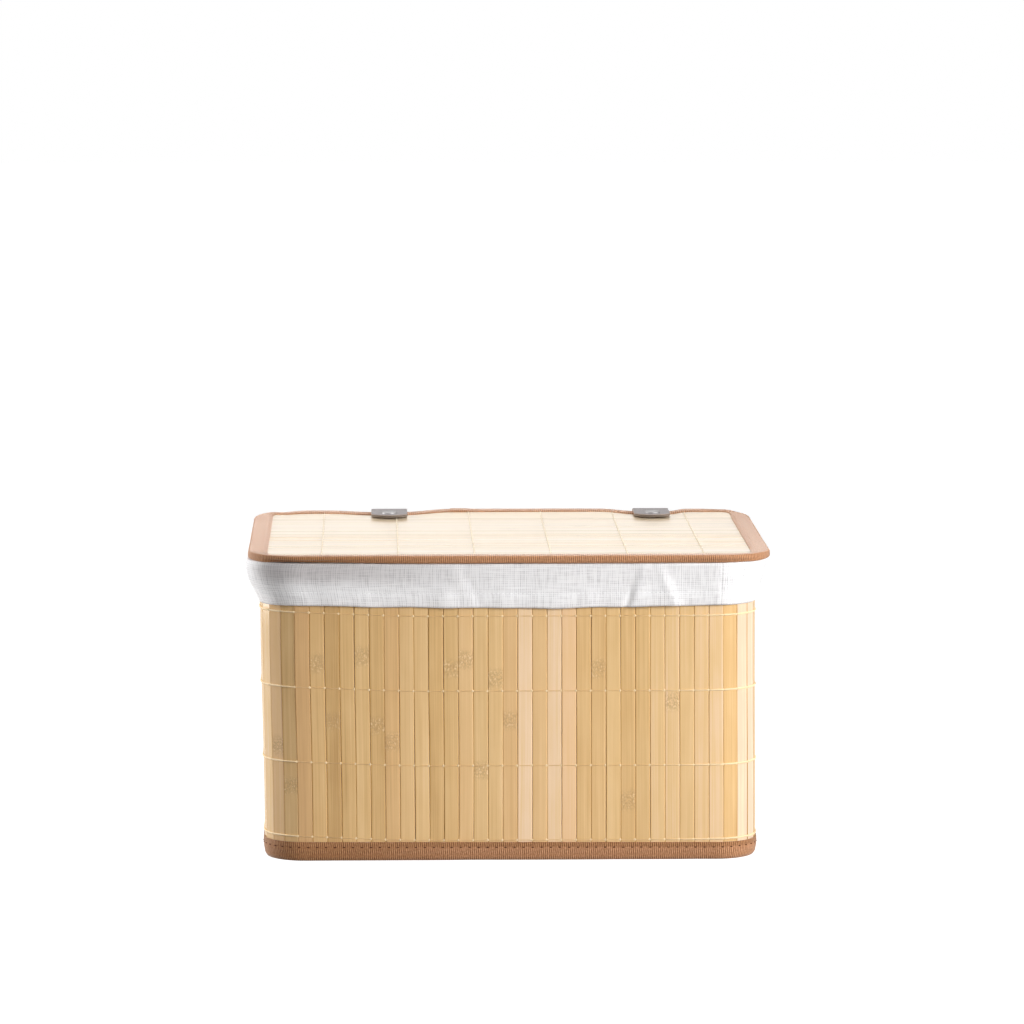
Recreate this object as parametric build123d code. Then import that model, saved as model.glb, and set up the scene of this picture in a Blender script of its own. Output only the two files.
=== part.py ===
from build123d import *
import os
from math import cos, pi, sin

# A laundry basket of upright bamboo slats with a cotton liner and a lid on two strap hinges.
# Millimetres. Z is up, the front faces -Y, and the origin is on the floor under the basket's centre.

# Basket body, over the outer faces of its slats
BODY_WIDTH = 400.0
BODY_DEPTH = 300.0
BODY_CORNER_RADIUS = 34.0

# Bamboo slats of the wall and the lid
SLAT_LENGTH = 239.0
SLAT_PITCH = 11.9
SLAT_GAP = 0.7
SLAT_THICKNESS = 1.6
SLAT_CHAMFER = 0.45

# Thread that ties the slats into a mat
THREAD_THICKNESS = 0.4
THREAD_WIDTH = 0.9
WALL_THREAD_ROWS = 4
THREAD_ABOVE_BINDING = 2.0
THREAD_BELOW_HEM = 7.0
LID_THREAD_ROWS = 6
LID_THREAD_PITCH = 62.0
LID_THREAD_LEFT_MARGIN = 60.0

# Webbing tape folded over the edges
TAPE_THICKNESS = 1.0
TAPE_LEG = 16.0
TAPE_FOLD_RADIUS = 1.4
TAPE_FIT = 0.2
RIM_WIRE_DIAMETER = 2.2

# Cloth base and the board that lies on it
BASE_CLOTH_RISE = 0.2
BASE_CLOTH_THICKNESS = 0.8
BASE_CLOTH_UPSTAND = 12.0
BASE_BOARD_THICKNESS = 3.0
BASE_BOARD_FIT = 0.4

# Cotton liner with a cuff turned down over the rim
LINER_THICKNESS = 0.8
LINER_FIT = 0.6
LINER_RIM_GAP = 0.2
CUFF_DROP = 34.7
CUFF_HEM_GAP = 0.8
CUFF_FLARE = 7.4

# Fold of spare cloth in the front of the cuff, placed by its distance from the basket's right end
FOLD_INSET = 84.0
FOLD_WIDTH = 40.0
FOLD_DEPTH = 2.5
FOLD_LEAN = 13.0
FOLD_TIP_WIDTH = 2.0
FOLD_TIP_DEPTH = 0.3
FOLD_TIP_DROP = 6.0

# Lid
LID_SIDE_OVERHANG = 12.5
LID_FRONT_OVERHANG = 12.0
LID_REAR_OVERHANG = 12.0
LID_CORNER_RADIUS = 46.0
LID_LINING_THICKNESS = 0.4
LID_BOARD_THICKNESS = 1.8
LID_REST_GAP = 0.3

# Hinge straps, placed by their distance from the basket's ends
STRAP_WIDTH = 31.0
STRAP_THICKNESS = 2.4
STRAP_LAP = 50.0
STRAP_TIP_CROWN = 11.0
STRAP_SEAT_GAP = 0.2
STRAP_EDGE_GAP = 0.6
STRAP_SWAY_RADIUS = 8.0
STRAP_TURN_DROP = 3.0
STRAP_LANDING_DROP = 9.0
LEFT_STRAP_INSET = 103.3
RIGHT_STRAP_INSET = 70.8

# Rivets that hold the straps
RIVET_TO_TIP = 12.0
RIVET_BELOW_HEM = 30.0
RIVET_CAP_DIAMETER = 13.0
RIVET_CAP_HEIGHT = 2.0
RIVET_CAP_ROUNDING = 1.5
RIVET_SHANK_DIAMETER = 3.0
RIVET_HOLE_FIT = 0.2
RIVET_TAIL_DIAMETER = 5.0
RIVET_TAIL_HEIGHT = 0.6
WASHER_DIAMETER = 9.0
WASHER_THICKNESS = 0.8

# Smallest corner that an inset outline keeps
MIN_CORNER_RADIUS = 1.0

# Wall, worked out from the sizes above
wall_front_run = BODY_WIDTH - 2 * BODY_CORNER_RADIUS
wall_side_run = BODY_DEPTH - 2 * BODY_CORNER_RADIUS
wall_corner_arc = pi / 2 * BODY_CORNER_RADIUS
wall_perimeter = 2 * wall_front_run + 2 * wall_side_run + 4 * wall_corner_arc
wall_slat_count = round(wall_perimeter / SLAT_PITCH)
wall_slat_pitch = wall_perimeter / wall_slat_count
wall_slat_width = wall_slat_pitch - SLAT_GAP
slat_bow = BODY_CORNER_RADIUS * (1 - cos(wall_slat_width / BODY_CORNER_RADIUS / 2))
wall_reach = SLAT_THICKNESS + slat_bow
wall_middle = -wall_reach / 2

# Heights of the body
slat_bottom = TAPE_THICKNESS
slat_top = slat_bottom + SLAT_LENGTH
rim_top = slat_top + RIM_WIRE_DIAMETER + TAPE_THICKNESS
base_cloth_top = BASE_CLOTH_RISE + BASE_CLOTH_THICKNESS
base_board_top = base_cloth_top + BASE_BOARD_THICKNESS
cuff_hem = rim_top - CUFF_DROP
liner_over_rim = rim_top + LINER_RIM_GAP
liner_top = liner_over_rim + LINER_THICKNESS

# Margins from the wall outline, positive outwards
base_binding_inner = wall_middle - wall_reach / 2 - TAPE_FIT - TAPE_THICKNESS
base_cloth_inner = base_binding_inner - BASE_CLOTH_THICKNESS
liner_outer = base_cloth_inner - LINER_FIT
liner_inner = liner_outer - LINER_THICKNESS
cuff_shoulder = CUFF_HEM_GAP + CUFF_FLARE
cuff_slope = CUFF_FLARE / (liner_top - cuff_hem)

# Lid, from its underside up
lid_width = BODY_WIDTH + 2 * LID_SIDE_OVERHANG
lid_depth = BODY_DEPTH + LID_FRONT_OVERHANG + LID_REAR_OVERHANG
lid_centre_y = (LID_REAR_OVERHANG - LID_FRONT_OVERHANG) / 2
lid_rear_y = BODY_DEPTH / 2 + LID_REAR_OVERHANG
lid_bottom = liner_top + LID_REST_GAP
lid_lining_bottom = lid_bottom + TAPE_THICKNESS
lid_board_bottom = lid_lining_bottom + LID_LINING_THICKNESS
lid_board_top = lid_board_bottom + LID_BOARD_THICKNESS
lid_slat_bottom = lid_board_top + THREAD_THICKNESS
lid_slat_top = lid_slat_bottom + SLAT_THICKNESS
lid_top = lid_slat_top + TAPE_THICKNESS
lid_core_margin = -TAPE_THICKNESS - TAPE_FIT
lid_core_depth = lid_depth + 2 * lid_core_margin
lid_slat_count = round((lid_core_depth + SLAT_GAP) / SLAT_PITCH)
lid_slat_pitch = (lid_core_depth + SLAT_GAP) / lid_slat_count
lid_slat_width = lid_slat_pitch - SLAT_GAP

# Strap and rivet places
strap_seat = lid_top + STRAP_SEAT_GAP
strap_top = strap_seat + STRAP_THICKNESS
strap_tip_y = lid_rear_y - STRAP_LAP
strap_back_y = lid_rear_y + STRAP_EDGE_GAP
strap_wall_y = BODY_DEPTH / 2 + THREAD_THICKNESS + STRAP_SEAT_GAP
lid_rivet_y = strap_tip_y + RIVET_TO_TIP
wall_rivet_z = cuff_hem - RIVET_BELOW_HEM
strap_end_z = wall_rivet_z - RIVET_TO_TIP
strap_places = {
    "left_hinge_strap": LEFT_STRAP_INSET - BODY_WIDTH / 2,
    "right_hinge_strap": BODY_WIDTH / 2 - RIGHT_STRAP_INSET,
}
rivet_hole_diameter = RIVET_SHANK_DIAMETER + 2 * RIVET_HOLE_FIT


def rounded_outline(width, depth, radius, margin):
    """Rounded rectangle with a margin added all round."""
    corner = max(radius + margin, MIN_CORNER_RADIUS)
    return RectangleRounded(width + 2 * margin, depth + 2 * margin, corner)


def body_outline(margin=0.0, z=0.0):
    return Pos(0, 0, z) * rounded_outline(BODY_WIDTH, BODY_DEPTH, BODY_CORNER_RADIUS, margin)


def lid_outline(margin=0.0, z=0.0):
    return Pos(0, lid_centre_y, z) * rounded_outline(lid_width, lid_depth, LID_CORNER_RADIUS, margin)


def body_prism(margin, low, high):
    return extrude(body_outline(margin, low), high - low)


def lid_prism(margin, low, high):
    return extrude(lid_outline(margin, low), high - low)


def upright_hole(x, y, diameter, low, high):
    return Pos(x, y, (low + high) / 2) * Cylinder(diameter / 2, high - low)


def level_hole(x, z, diameter, front, rear):
    return Pos(x, (front + rear) / 2, z) * Rot(90, 0, 0) * Cylinder(diameter / 2, rear - front)


def save(node, *solids):
    shape = solids[0] if len(solids) == 1 else Compound(children=list(solids))
    export_step(shape, f"parts/{node}.step")


# Slatted wall


def wall_segments():
    """Runs and corners of the wall, anticlockwise from the middle of the front: name, length, turn."""
    half_front = wall_front_run / 2
    return [
        ("front", half_front, 0),
        ("front_right_corner", wall_corner_arc, 1),
        ("right", wall_side_run, 0),
        ("rear_right_corner", wall_corner_arc, 1),
        ("rear", wall_front_run, 0),
        ("rear_left_corner", wall_corner_arc, 1),
        ("left", wall_side_run, 0),
        ("front_left_corner", wall_corner_arc, 1),
        ("front", half_front, 0),
    ]


def wall_point(distance):
    """Stretch of the wall, point on its outline and outward normal, at a distance along it."""
    point = Vector(0, -BODY_DEPTH / 2)
    heading = 0.0
    left = distance % wall_perimeter
    for name, length, turn in wall_segments():
        step = min(left, length)
        ahead = Vector(cos(heading), sin(heading))
        if turn:
            centre = point + Vector(-ahead.Y, ahead.X) * BODY_CORNER_RADIUS
            heading += step / BODY_CORNER_RADIUS
            point = centre + Vector(sin(heading), -cos(heading)) * BODY_CORNER_RADIUS
        else:
            point += ahead * step
        left -= step
        if left <= 0:
            break
    return name, point, Vector(sin(heading), -cos(heading))


def slat_section(start, end, start_in, end_in):
    """Flat slat with chamfered outer edges, from its two outer and two inner corners."""
    across = (end - start).normalized() * SLAT_CHAMFER
    start_side = (start_in - start).normalized() * SLAT_CHAMFER
    end_side = (end_in - end).normalized() * SLAT_CHAMFER
    corners = [start + across, end - across, end + end_side, end_in, start_in, start + start_side]
    return make_face(Polyline(*corners, close=True))


def wall_slat_sections():
    """Every slat's section, listed under the stretch of wall that it stands in."""
    stretches = {}
    for index in range(wall_slat_count):
        middle = index * wall_slat_pitch
        start_at = middle - wall_slat_width / 2
        end_at = middle + wall_slat_width / 2
        stretch = wall_point(middle)[0]
        _, start, start_normal = wall_point(start_at)
        _, end, end_normal = wall_point(end_at)
        start_in = start - start_normal * SLAT_THICKNESS
        end_in = end - end_normal * SLAT_THICKNESS
        section = slat_section(start, end, start_in, end_in)
        stretches.setdefault(stretch, []).append(section)
    return stretches


def wall_rivet_holes():
    rear = BODY_DEPTH / 2
    return [
        level_hole(x, wall_rivet_z, rivet_hole_diameter, rear - 2 * wall_reach, rear + wall_reach)
        for x in strap_places.values()
    ]


def make_wall_slats(stretches):
    holes = wall_rivet_holes()
    for stretch, sections in stretches.items():
        slats = [extrude(Pos(0, 0, slat_bottom) * section, SLAT_LENGTH) for section in sections]
        if stretch == "rear":
            slats = [slat - holes for slat in slats]
        save(f"{stretch}_slats", *slats)


def make_wall_threads(stretches):
    """Each row is one thread that passes in front of and behind every slat."""
    sections = [section for group in stretches.values() for section in group]
    band = body_outline(THREAD_THICKNESS) - body_outline(-wall_reach - THREAD_THICKNESS)
    row = extrude(band - sections, THREAD_WIDTH)
    lowest = TAPE_LEG + THREAD_ABOVE_BINDING
    spacing = (cuff_hem - THREAD_BELOW_HEM - lowest) / (WALL_THREAD_ROWS - 1)
    for index in range(WALL_THREAD_ROWS):
        z = lowest + index * spacing - THREAD_WIDTH / 2
        save(f"wall_thread_row_{index + 1}", Pos(0, 0, z) * row)


# Bindings of the wall


def wall_binding(held):
    """Tape folded up round a lower edge, with room in the fold for what it holds."""
    fold = held / 2 + TAPE_FIT
    outer = wall_middle + fold
    inner = wall_middle - fold
    tape = body_prism(outer + TAPE_THICKNESS, 0, TAPE_LEG)
    tape -= body_prism(inner - TAPE_THICKNESS, 0, TAPE_LEG)
    tape -= body_prism(outer, TAPE_THICKNESS, TAPE_LEG) - body_prism(inner, TAPE_THICKNESS, TAPE_LEG)
    return fillet(tape.edges().group_by(Axis.Z)[0], TAPE_FOLD_RADIUS)


def make_wall_bindings():
    save("base_binding", wall_binding(wall_reach))
    rim = wall_binding(max(wall_reach, RIM_WIRE_DIAMETER))
    save("rim_binding", Pos(0, 0, rim_top) * Rot(180, 0, 0) * rim)


def make_rim_wire():
    centre_line = body_outline(wall_middle, slat_top + RIM_WIRE_DIAMETER / 2).wire()
    start = centre_line @ 0
    section = Plane(start, z_dir=centre_line % 0) * Circle(RIM_WIRE_DIAMETER / 2)
    save("rim_wire", sweep(section, centre_line))


# Base


def make_base():
    cloth = body_prism(base_binding_inner, BASE_CLOTH_RISE, base_cloth_top + BASE_CLOTH_UPSTAND)
    cloth -= body_prism(base_cloth_inner, base_cloth_top, base_cloth_top + BASE_CLOTH_UPSTAND)
    save("base_cloth", cloth)
    save("base_board", body_prism(base_cloth_inner - BASE_BOARD_FIT, base_cloth_top, base_board_top))


# Liner


def fold_section(z, width, depth, lean):
    """Triangle across the fold, rooted in the cuff's cloth and with its ridge off to the left."""
    x = BODY_WIDTH / 2 - FOLD_INSET
    face = -BODY_DEPTH / 2 - CUFF_HEM_GAP - LINER_THICKNESS - (z - cuff_hem) * cuff_slope
    root = face + LINER_THICKNESS / 2
    corners = [(x - width / 2, root), (x - lean, face - depth), (x + width / 2, root)]
    return Pos(0, 0, z) * make_face(Polyline(*corners, close=True))


def cuff_fold():
    """Inverted V of spare cloth, open at the hem and closing up below the lid."""
    hem = fold_section(cuff_hem, FOLD_WIDTH, FOLD_DEPTH, FOLD_LEAN)
    tip = fold_section(liner_over_rim - FOLD_TIP_DROP, FOLD_TIP_WIDTH, FOLD_TIP_DEPTH, 0)
    return loft([hem, tip])


def make_liner():
    """Bag that stands inside the wall and turns down outside it in a flared cuff."""
    margin = CUFF_HEM_GAP + LINER_THICKNESS
    cuff = loft([body_outline(margin, cuff_hem), body_outline(margin + CUFF_FLARE, liner_top)])
    cuff -= loft([body_outline(CUFF_HEM_GAP, cuff_hem), body_outline(cuff_shoulder, liner_over_rim)])
    walls = cuff + cuff_fold() + body_prism(liner_outer, base_board_top, liner_top)
    save("liner_walls", walls - body_prism(liner_inner, base_board_top, liner_top))
    save("liner_floor", body_prism(liner_inner, base_board_top, base_board_top + LINER_THICKNESS))


# Lid


def lid_slat_sections():
    """Slat sections in the YZ plane, from the front of the lid to the rear."""
    front = lid_centre_y - lid_core_depth / 2
    for index in range(lid_slat_count):
        start = front + index * lid_slat_pitch
        end = start + lid_slat_width
        yield slat_section(
            Vector(start, lid_slat_top),
            Vector(end, lid_slat_top),
            Vector(start, lid_slat_bottom),
            Vector(end, lid_slat_bottom),
        )


def lid_rivet_holes():
    return [
        upright_hole(x, lid_rivet_y, rivet_hole_diameter, lid_bottom, lid_top)
        for x in strap_places.values()
    ]


def make_lid_slats(sections):
    core = lid_prism(lid_core_margin, lid_bottom, lid_top)
    holes = lid_rivet_holes()
    slats = [extrude(Plane.YZ * section, lid_width / 2, both=True) & core for section in sections]
    save("lid_slats", *[slat - holes for slat in slats])


def make_lid_threads(sections):
    length = lid_depth - 2 * TAPE_LEG - 2 * TAPE_FIT
    height = SLAT_THICKNESS + 2 * THREAD_THICKNESS
    middle_z = (lid_slat_bottom + lid_slat_top) / 2
    band = Pos(lid_centre_y, middle_z) * Rectangle(length, height)
    row = extrude(Plane.YZ * (band - sections), THREAD_WIDTH / 2, both=True)
    first = LID_THREAD_LEFT_MARGIN - lid_width / 2
    for index in range(LID_THREAD_ROWS):
        save(f"lid_thread_row_{index + 1}", Pos(first + index * LID_THREAD_PITCH, 0, 0) * row)


def make_lid_core():
    holes = lid_rivet_holes()
    save("lid_board", lid_prism(lid_core_margin, lid_board_bottom, lid_board_top) - holes)
    save("lid_lining", lid_prism(lid_core_margin, lid_lining_bottom, lid_board_bottom) - holes)


def make_lid_binding():
    """Tape folded round the lid's edge, showing one leg above and one below."""
    tape = lid_prism(0, lid_bottom, lid_top) - lid_prism(-TAPE_LEG, lid_bottom, lid_top)
    edges = tape.edges().group_by(Axis.Z)
    rims = [edge for group in (edges[0], edges[-1]) for edge in group]
    folds = ShapeList(rims).filter_by(on_lid_rim)
    tape = fillet(folds, TAPE_FOLD_RADIUS)
    save("lid_binding", tape - lid_prism(-TAPE_THICKNESS, lid_lining_bottom, lid_slat_top))


def on_lid_rim(edge):
    """True for an edge of the lid's own outline and false for one of the window in its binding."""
    middle = edge @ 0.5
    across = lid_width / 2 - TAPE_LEG / 2
    along = lid_depth / 2 - TAPE_LEG / 2
    return abs(middle.X) > across or abs(middle.Y - lid_centre_y) > along


# Hinge straps and their rivets


def strap_tongue(length):
    """Strap's outline laid flat, with its crowned tip at the origin and its sides along +Y."""
    half = STRAP_WIDTH / 2
    tip = ThreePointArc((-half, STRAP_TIP_CROWN), (0, 0), (half, STRAP_TIP_CROWN))
    sides = Polyline((half, STRAP_TIP_CROWN), (half, length), (-half, length), (-half, STRAP_TIP_CROWN))
    return make_face(tip + sides)


def strap_profile():
    """Side view of a strap: along the lid, round its rear edge, past the cuff and down the wall."""
    route = FilletPolyline(
        (strap_tip_y, strap_seat),
        (strap_back_y, strap_seat),
        (strap_back_y, lid_bottom - STRAP_TURN_DROP),
        (strap_wall_y, cuff_hem - STRAP_LANDING_DROP),
        (strap_wall_y, strap_end_z),
        radius=[TAPE_FOLD_RADIUS, STRAP_SWAY_RADIUS, STRAP_SWAY_RADIUS],
    )
    return make_face(offset(route, STRAP_THICKNESS, side=Side.LEFT))


def make_straps():
    lap = strap_back_y + STRAP_THICKNESS - strap_tip_y
    drop = strap_top - strap_end_z
    ribbon = extrude(Plane.YZ * strap_profile(), STRAP_WIDTH / 2, both=True)
    ribbon &= extrude(Pos(0, strap_tip_y, strap_end_z) * strap_tongue(lap), drop)
    ribbon &= extrude(Pos(0, strap_tip_y, strap_end_z) * (Plane.XZ * strap_tongue(drop)), -lap)
    ribbon -= upright_hole(0, lid_rivet_y, rivet_hole_diameter, lid_bottom, strap_top + STRAP_THICKNESS)
    rear = BODY_DEPTH / 2
    ribbon -= level_hole(0, wall_rivet_z, rivet_hole_diameter, rear, strap_back_y)
    for node, x in strap_places.items():
        save(node, Pos(x, 0, 0) * ribbon)


def rivet(grip):
    """Rivet along Z with its cap on the plane z = 0 and its tail a grip's length below."""
    cap = Pos(0, 0, RIVET_CAP_HEIGHT / 2) * Cylinder(RIVET_CAP_DIAMETER / 2, RIVET_CAP_HEIGHT)
    cap = fillet(cap.edges().group_by(Axis.Z)[-1], RIVET_CAP_ROUNDING)
    shank = upright_hole(0, 0, RIVET_SHANK_DIAMETER, -grip, 0)
    tail = upright_hole(0, 0, RIVET_TAIL_DIAMETER, -grip - RIVET_TAIL_HEIGHT, -grip)
    return cap + shank + tail


def washer(grip):
    """Washer that bears on the far face of what a rivet holds, against the rivet's tail."""
    disc = upright_hole(0, 0, WASHER_DIAMETER, -grip, WASHER_THICKNESS - grip)
    return disc - upright_hole(0, 0, rivet_hole_diameter, -grip, WASHER_THICKNESS - grip)


def make_rivets():
    lid_grip = strap_top - lid_lining_bottom + WASHER_THICKNESS
    lid_seats = [Pos(x, lid_rivet_y, strap_top) for x in strap_places.values()]
    save("lid_rivets", *[seat * rivet(lid_grip) for seat in lid_seats])
    save("lid_rivet_washers", *[seat * washer(lid_grip) for seat in lid_seats])
    wall_face = strap_wall_y + STRAP_THICKNESS
    wall_grip = wall_face - BODY_DEPTH / 2 + SLAT_THICKNESS + WASHER_THICKNESS
    wall_seats = [Pos(x, wall_face, wall_rivet_z) * Rot(-90, 0, 0) for x in strap_places.values()]
    save("wall_rivets", *[seat * rivet(wall_grip) for seat in wall_seats])
    save("wall_rivet_washers", *[seat * washer(wall_grip) for seat in wall_seats])


os.makedirs("parts", exist_ok=True)
wall_stretches = wall_slat_sections()
make_wall_slats(wall_stretches)
make_wall_threads(wall_stretches)
make_wall_bindings()
make_rim_wire()
make_base()
make_liner()
lid_sections = list(lid_slat_sections())
make_lid_slats(lid_sections)
make_lid_threads(lid_sections)
make_lid_core()
make_lid_binding()
make_straps()
make_rivets()
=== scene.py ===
import math

import bmesh
import bpy
import numpy as np
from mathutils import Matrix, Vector


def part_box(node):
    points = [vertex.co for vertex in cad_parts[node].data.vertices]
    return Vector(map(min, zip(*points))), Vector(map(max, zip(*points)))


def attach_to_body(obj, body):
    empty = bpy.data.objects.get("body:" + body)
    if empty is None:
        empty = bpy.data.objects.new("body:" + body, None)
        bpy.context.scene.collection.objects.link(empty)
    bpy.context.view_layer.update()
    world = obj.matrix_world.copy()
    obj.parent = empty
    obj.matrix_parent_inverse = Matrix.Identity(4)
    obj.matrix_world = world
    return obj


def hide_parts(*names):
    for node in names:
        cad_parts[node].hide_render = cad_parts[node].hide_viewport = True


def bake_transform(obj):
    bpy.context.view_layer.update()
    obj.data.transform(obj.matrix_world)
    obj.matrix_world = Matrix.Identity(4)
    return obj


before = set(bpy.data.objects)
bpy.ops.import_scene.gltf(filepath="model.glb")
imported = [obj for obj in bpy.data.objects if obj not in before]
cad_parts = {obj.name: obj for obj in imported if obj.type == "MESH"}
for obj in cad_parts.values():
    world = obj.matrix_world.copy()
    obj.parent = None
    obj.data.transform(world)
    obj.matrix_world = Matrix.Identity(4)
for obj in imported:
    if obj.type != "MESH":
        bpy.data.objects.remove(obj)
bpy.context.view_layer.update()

# Looks of a bamboo laundry hamper: its slats, threads, tapes, cloth and straps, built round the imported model.
# Metres, in the model's frame: Z is up and the front faces -Y.

MM = 0.001
LEAST_DIVISOR = 0.1 * MM

# Camera fitted to the photograph, and the floor
CAMERA_PLACE = Vector((-0.1105, -4.4498, 0.7672))
CAMERA_YAW = 0.02603
CAMERA_PITCH = 0.11164
CAMERA_LENS = 188.52
CAMERA_SENSOR = 36.0
FLOOR_REACH = 12.0

# Basket and lid outlines
BODY_CORNER_RADIUS = 34 * MM
LID_CORNER_RADIUS = 46 * MM

# Bamboo slats; an edge is the width and the drop of its rounding
SLAT_PITCH = 11.9 * MM
MODEL_SLAT_GAP = 0.7 * MM
SLAT_GAP = 0.1 * MM
LID_SLAT_GAP = 0.06 * MM
SLAT_THICKNESS = 1.6 * MM
SLAT_LEFT_EDGE = (0.3 * MM, 0.3 * MM)
SLAT_RIGHT_EDGE = (0.75 * MM, 0.55 * MM)
LID_SLAT_EDGE = (0.25 * MM, 0.14 * MM)
SLAT_START = 8 * MM
SLAT_CROWN = 0.06 * MM
SLAT_SIDE = 0.8 * MM
SLAT_BACK_INSET = 0.32 * MM
SLAT_ROW_STEP = 6 * MM
SLAT_SWAY = 0.13 * MM
SLAT_SINK = 0.16 * MM
SLAT_TWIST = math.radians(1.3)

# Tones of the slats, drawn about a middle within limits, and the chance and places of their node scars
WALL_TONE_SPREAD = 0.5
WALL_TONE_LIMIT = 1.0
# The lid's slats are drawn about a raised middle tone: painted light that makes its lit top paler
LID_PAINTED_LIGHT_TONE = 0.6
LID_TONE_SPREAD = 0.8
LID_TONE_LIMIT = 1.4
SCAR_CHANCE = 0.35
SCAR_HEIGHTS = (30 * MM, 200 * MM)
LID_SCAR_MARGIN = 50 * MM
FAR_AWAY = 1.0
SCAR_DRIFT = 8 * MM
SCAR_REACH = (3 * MM, 11 * MM)

# Tones of the front's slats from the left corner to the right one, set by comparing renders with the
# photograph, and the scars there: heights in millimetres, by the slat's place from the middle of the front
# Besides the slats' own tones, these hold painted shade that darkens the front towards the left, and painted
# light that makes the last slats at the right paler
FRONT_TONES_AND_PAINTED_LIGHT = (
    0.8, 0.6, -0.4, -1.3, -0.5, -1.1, -0.5, -0.2, -0.6, -0.7, 0.1, 0.1, -0.7, -0.4, 0.3, 0.1, 0.2, -0.2,
    1.5, 0.1, 1.3, 1.0, -0.3, -0.3, 0.1, -0.4, -0.3, 0.55, 0.75, 0.35, 0.75, 1.0, -0.3, 2.5, 2.5,
)
FRONT_REACH = len(FRONT_TONES_AND_PAINTED_LIGHT) // 2
FRONT_SCARS = {
    -16: 94, -15: 62, -13: 162, -12: 115, -10: 168, -9: 111, -8: 98, -4: 157, -3: 165, -2: 74,
    -1: 149, 0: 115, 6: 157, 8: 49, 11: 131,
}

# Ends of the wall: the left one leans out towards the cuff and the right one stands out at the floor
LEFT_LEAN = 2.8 * MM
RIGHT_SPREAD = 1.9 * MM
RIGHT_SPREAD_LOSS = 0.6
LEAN_HEIGHTS = (20 * MM, 200 * MM)
LEAN_TUCK_HEIGHTS = (210 * MM, 238 * MM)

# Thread that ties the slats, over their outer and inner faces
THREAD_RADIUS = 0.24 * MM
THREAD_SINK = 0.75 * MM
THREAD_FACES = ((1, 0.0), (-1, -SLAT_THICKNESS))
THREAD_SAG = 1.2 * MM
THREAD_LEFT_RISE = 4.2 * MM
# Painted highlight on the thread: the corner spans where it is bright and swollen, and its least on the lid
BRIGHT_THREAD_RIGHT = (90 * MM, 185 * MM)
BRIGHT_THREAD_LEFT = (160 * MM, 185 * MM)
BRIGHT_THREAD_SWELL = 2.4
LID_THREAD_SHINE = 0.8
KNOT_RADII = (0.8 * MM, 0.55 * MM, 1.35 * MM)
KNOT_INSET = 0.4 * MM
KNOT_SINK = 0.25 * MM
STRAND_SIDES = 6

# Webbing tape
TAPE_THICKNESS = 0.7 * MM
TAPE_SLACK = 0.5 * MM
TAPE_INNER = -2.75 * MM
TAPE_LEG = 16 * MM
TAPE_FOLD_RADIUS = 1.6 * MM
TAPE_STEP = 1.8 * MM
TAPE_ROW_STEP = 0.8 * MM
TAPE_WANDER = 0.1 * MM
TAPE_JOIN_LAP = 14 * MM
TAPE_JOIN_RISE = 0.55 * MM
# Painted shade on the tapes towards the left of the front: its strength and span
TAPE_LEFT_PAINTED_SHADE = 1.0
TAPE_PAINTED_SHADE_SPAN = (20 * MM, 160 * MM)
BASE_TAPE_INNER = -3.2 * MM
BASE_TAPE_TUCK = 2.6 * MM
BASE_TAPE_TUCK_TOP = 9 * MM
BASE_TAPE_BENDS = (0.4 * MM, 0.8 * MM, 4 * MM, 20 * MM)
BASE_TAPE_LOSS = 0.1
LID_TAPE_JOIN_X = -30 * MM
LID_TAPE_SLOPE = (3 * MM, 0.55 * MM)
LID_TAPE_BENDS = (TAPE_FOLD_RADIUS, TAPE_FOLD_RADIUS, 6 * MM)

# Stitches in the tape
STITCH_FROM_EDGE = 4.5 * MM
STITCH_PITCH = 7.3 * MM
STITCH_LENGTH = 2.2 * MM
STITCH_RADIUS = 0.5 * MM
STITCH_REST = 0.26 * MM
STITCH_DENT = 0.38 * MM
STITCH_DENT_WIDTH = 0.9 * MM
STITCH_STRIP_FADE = 1 * MM
LID_STITCH_PULL = 0.05
LID_STITCH_RADIUS = 0.22 * MM

# Cotton liner
LINER_THICKNESS = 0.8 * MM
LINER_STEP = 2.1 * MM
LINER_PLAIN_HEIGHT = 200 * MM
LINER_PLAIN_ROWS = 24
LINER_SAG = 1.6 * MM
LINER_SAG_SPAN = 240 * MM
SEAM_X = 170 * MM
SEAM_GROOVE = 0.25 * MM
SEAM_WIDTH = 0.6 * MM
SEAM_STEPS = (0.4 * MM, 0.8 * MM, 1.4 * MM)

# Cuff that the liner turns over the rim
CUFF_ROW_STEP = 1.7 * MM
CUFF_ROLL = 1.0 * MM
CUFF_DROP = 34.7 * MM
CUFF_BULGE = 1.0 * MM
CUFF_SLACK = 0.7 * MM
CUFF_FINE_SLACK = 0.28 * MM
CUFF_LEFT_BULGE = 6.0 * MM
CUFF_LEFT_RISE = 0.6 * MM
CUFF_LEFT_RISE_SPAN = (60 * MM, 190 * MM)
CUFF_RIM_DEPTHS = (6 * MM, 1.5 * MM)
# Greying of the cuff: the wall showing through its single layer, with painted shade that is strongest towards
# the left
PAINTED_CUFF_SHADE_SPAN = (0.0, 160 * MM, 185 * MM, 200 * MM)
THIN_CUFF_END = (SEAM_X - 4 * MM, SEAM_X + 8 * MM)

# Hem of the cuff
HEM_CLEARANCE = 0.5 * MM
HEM_FLARE = 0.9 * MM
HEM_FLARE_FADE = (140 * MM, 185 * MM)
HEM_SAG = 1.3 * MM
HEM_SAG_X = 10 * MM
HEM_SAG_REACH = 128 * MM
HEM_SAG_LIMIT = 170 * MM
HEM_WANDER = 0.5 * MM
HEM_DEPTH = 11 * MM
HEM_RISE = 0.35 * MM
HEM_RISE_WIDTH = 1.2 * MM
HEM_DENT = 0.25 * MM
HEM_DENT_WIDTH = 1.3 * MM
HEM_STITCH_PITCH = 3.6 * MM
HEM_STITCH_LENGTH = 2.4 * MM
HEM_STITCH_RADIUS = 0.2 * MM

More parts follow.
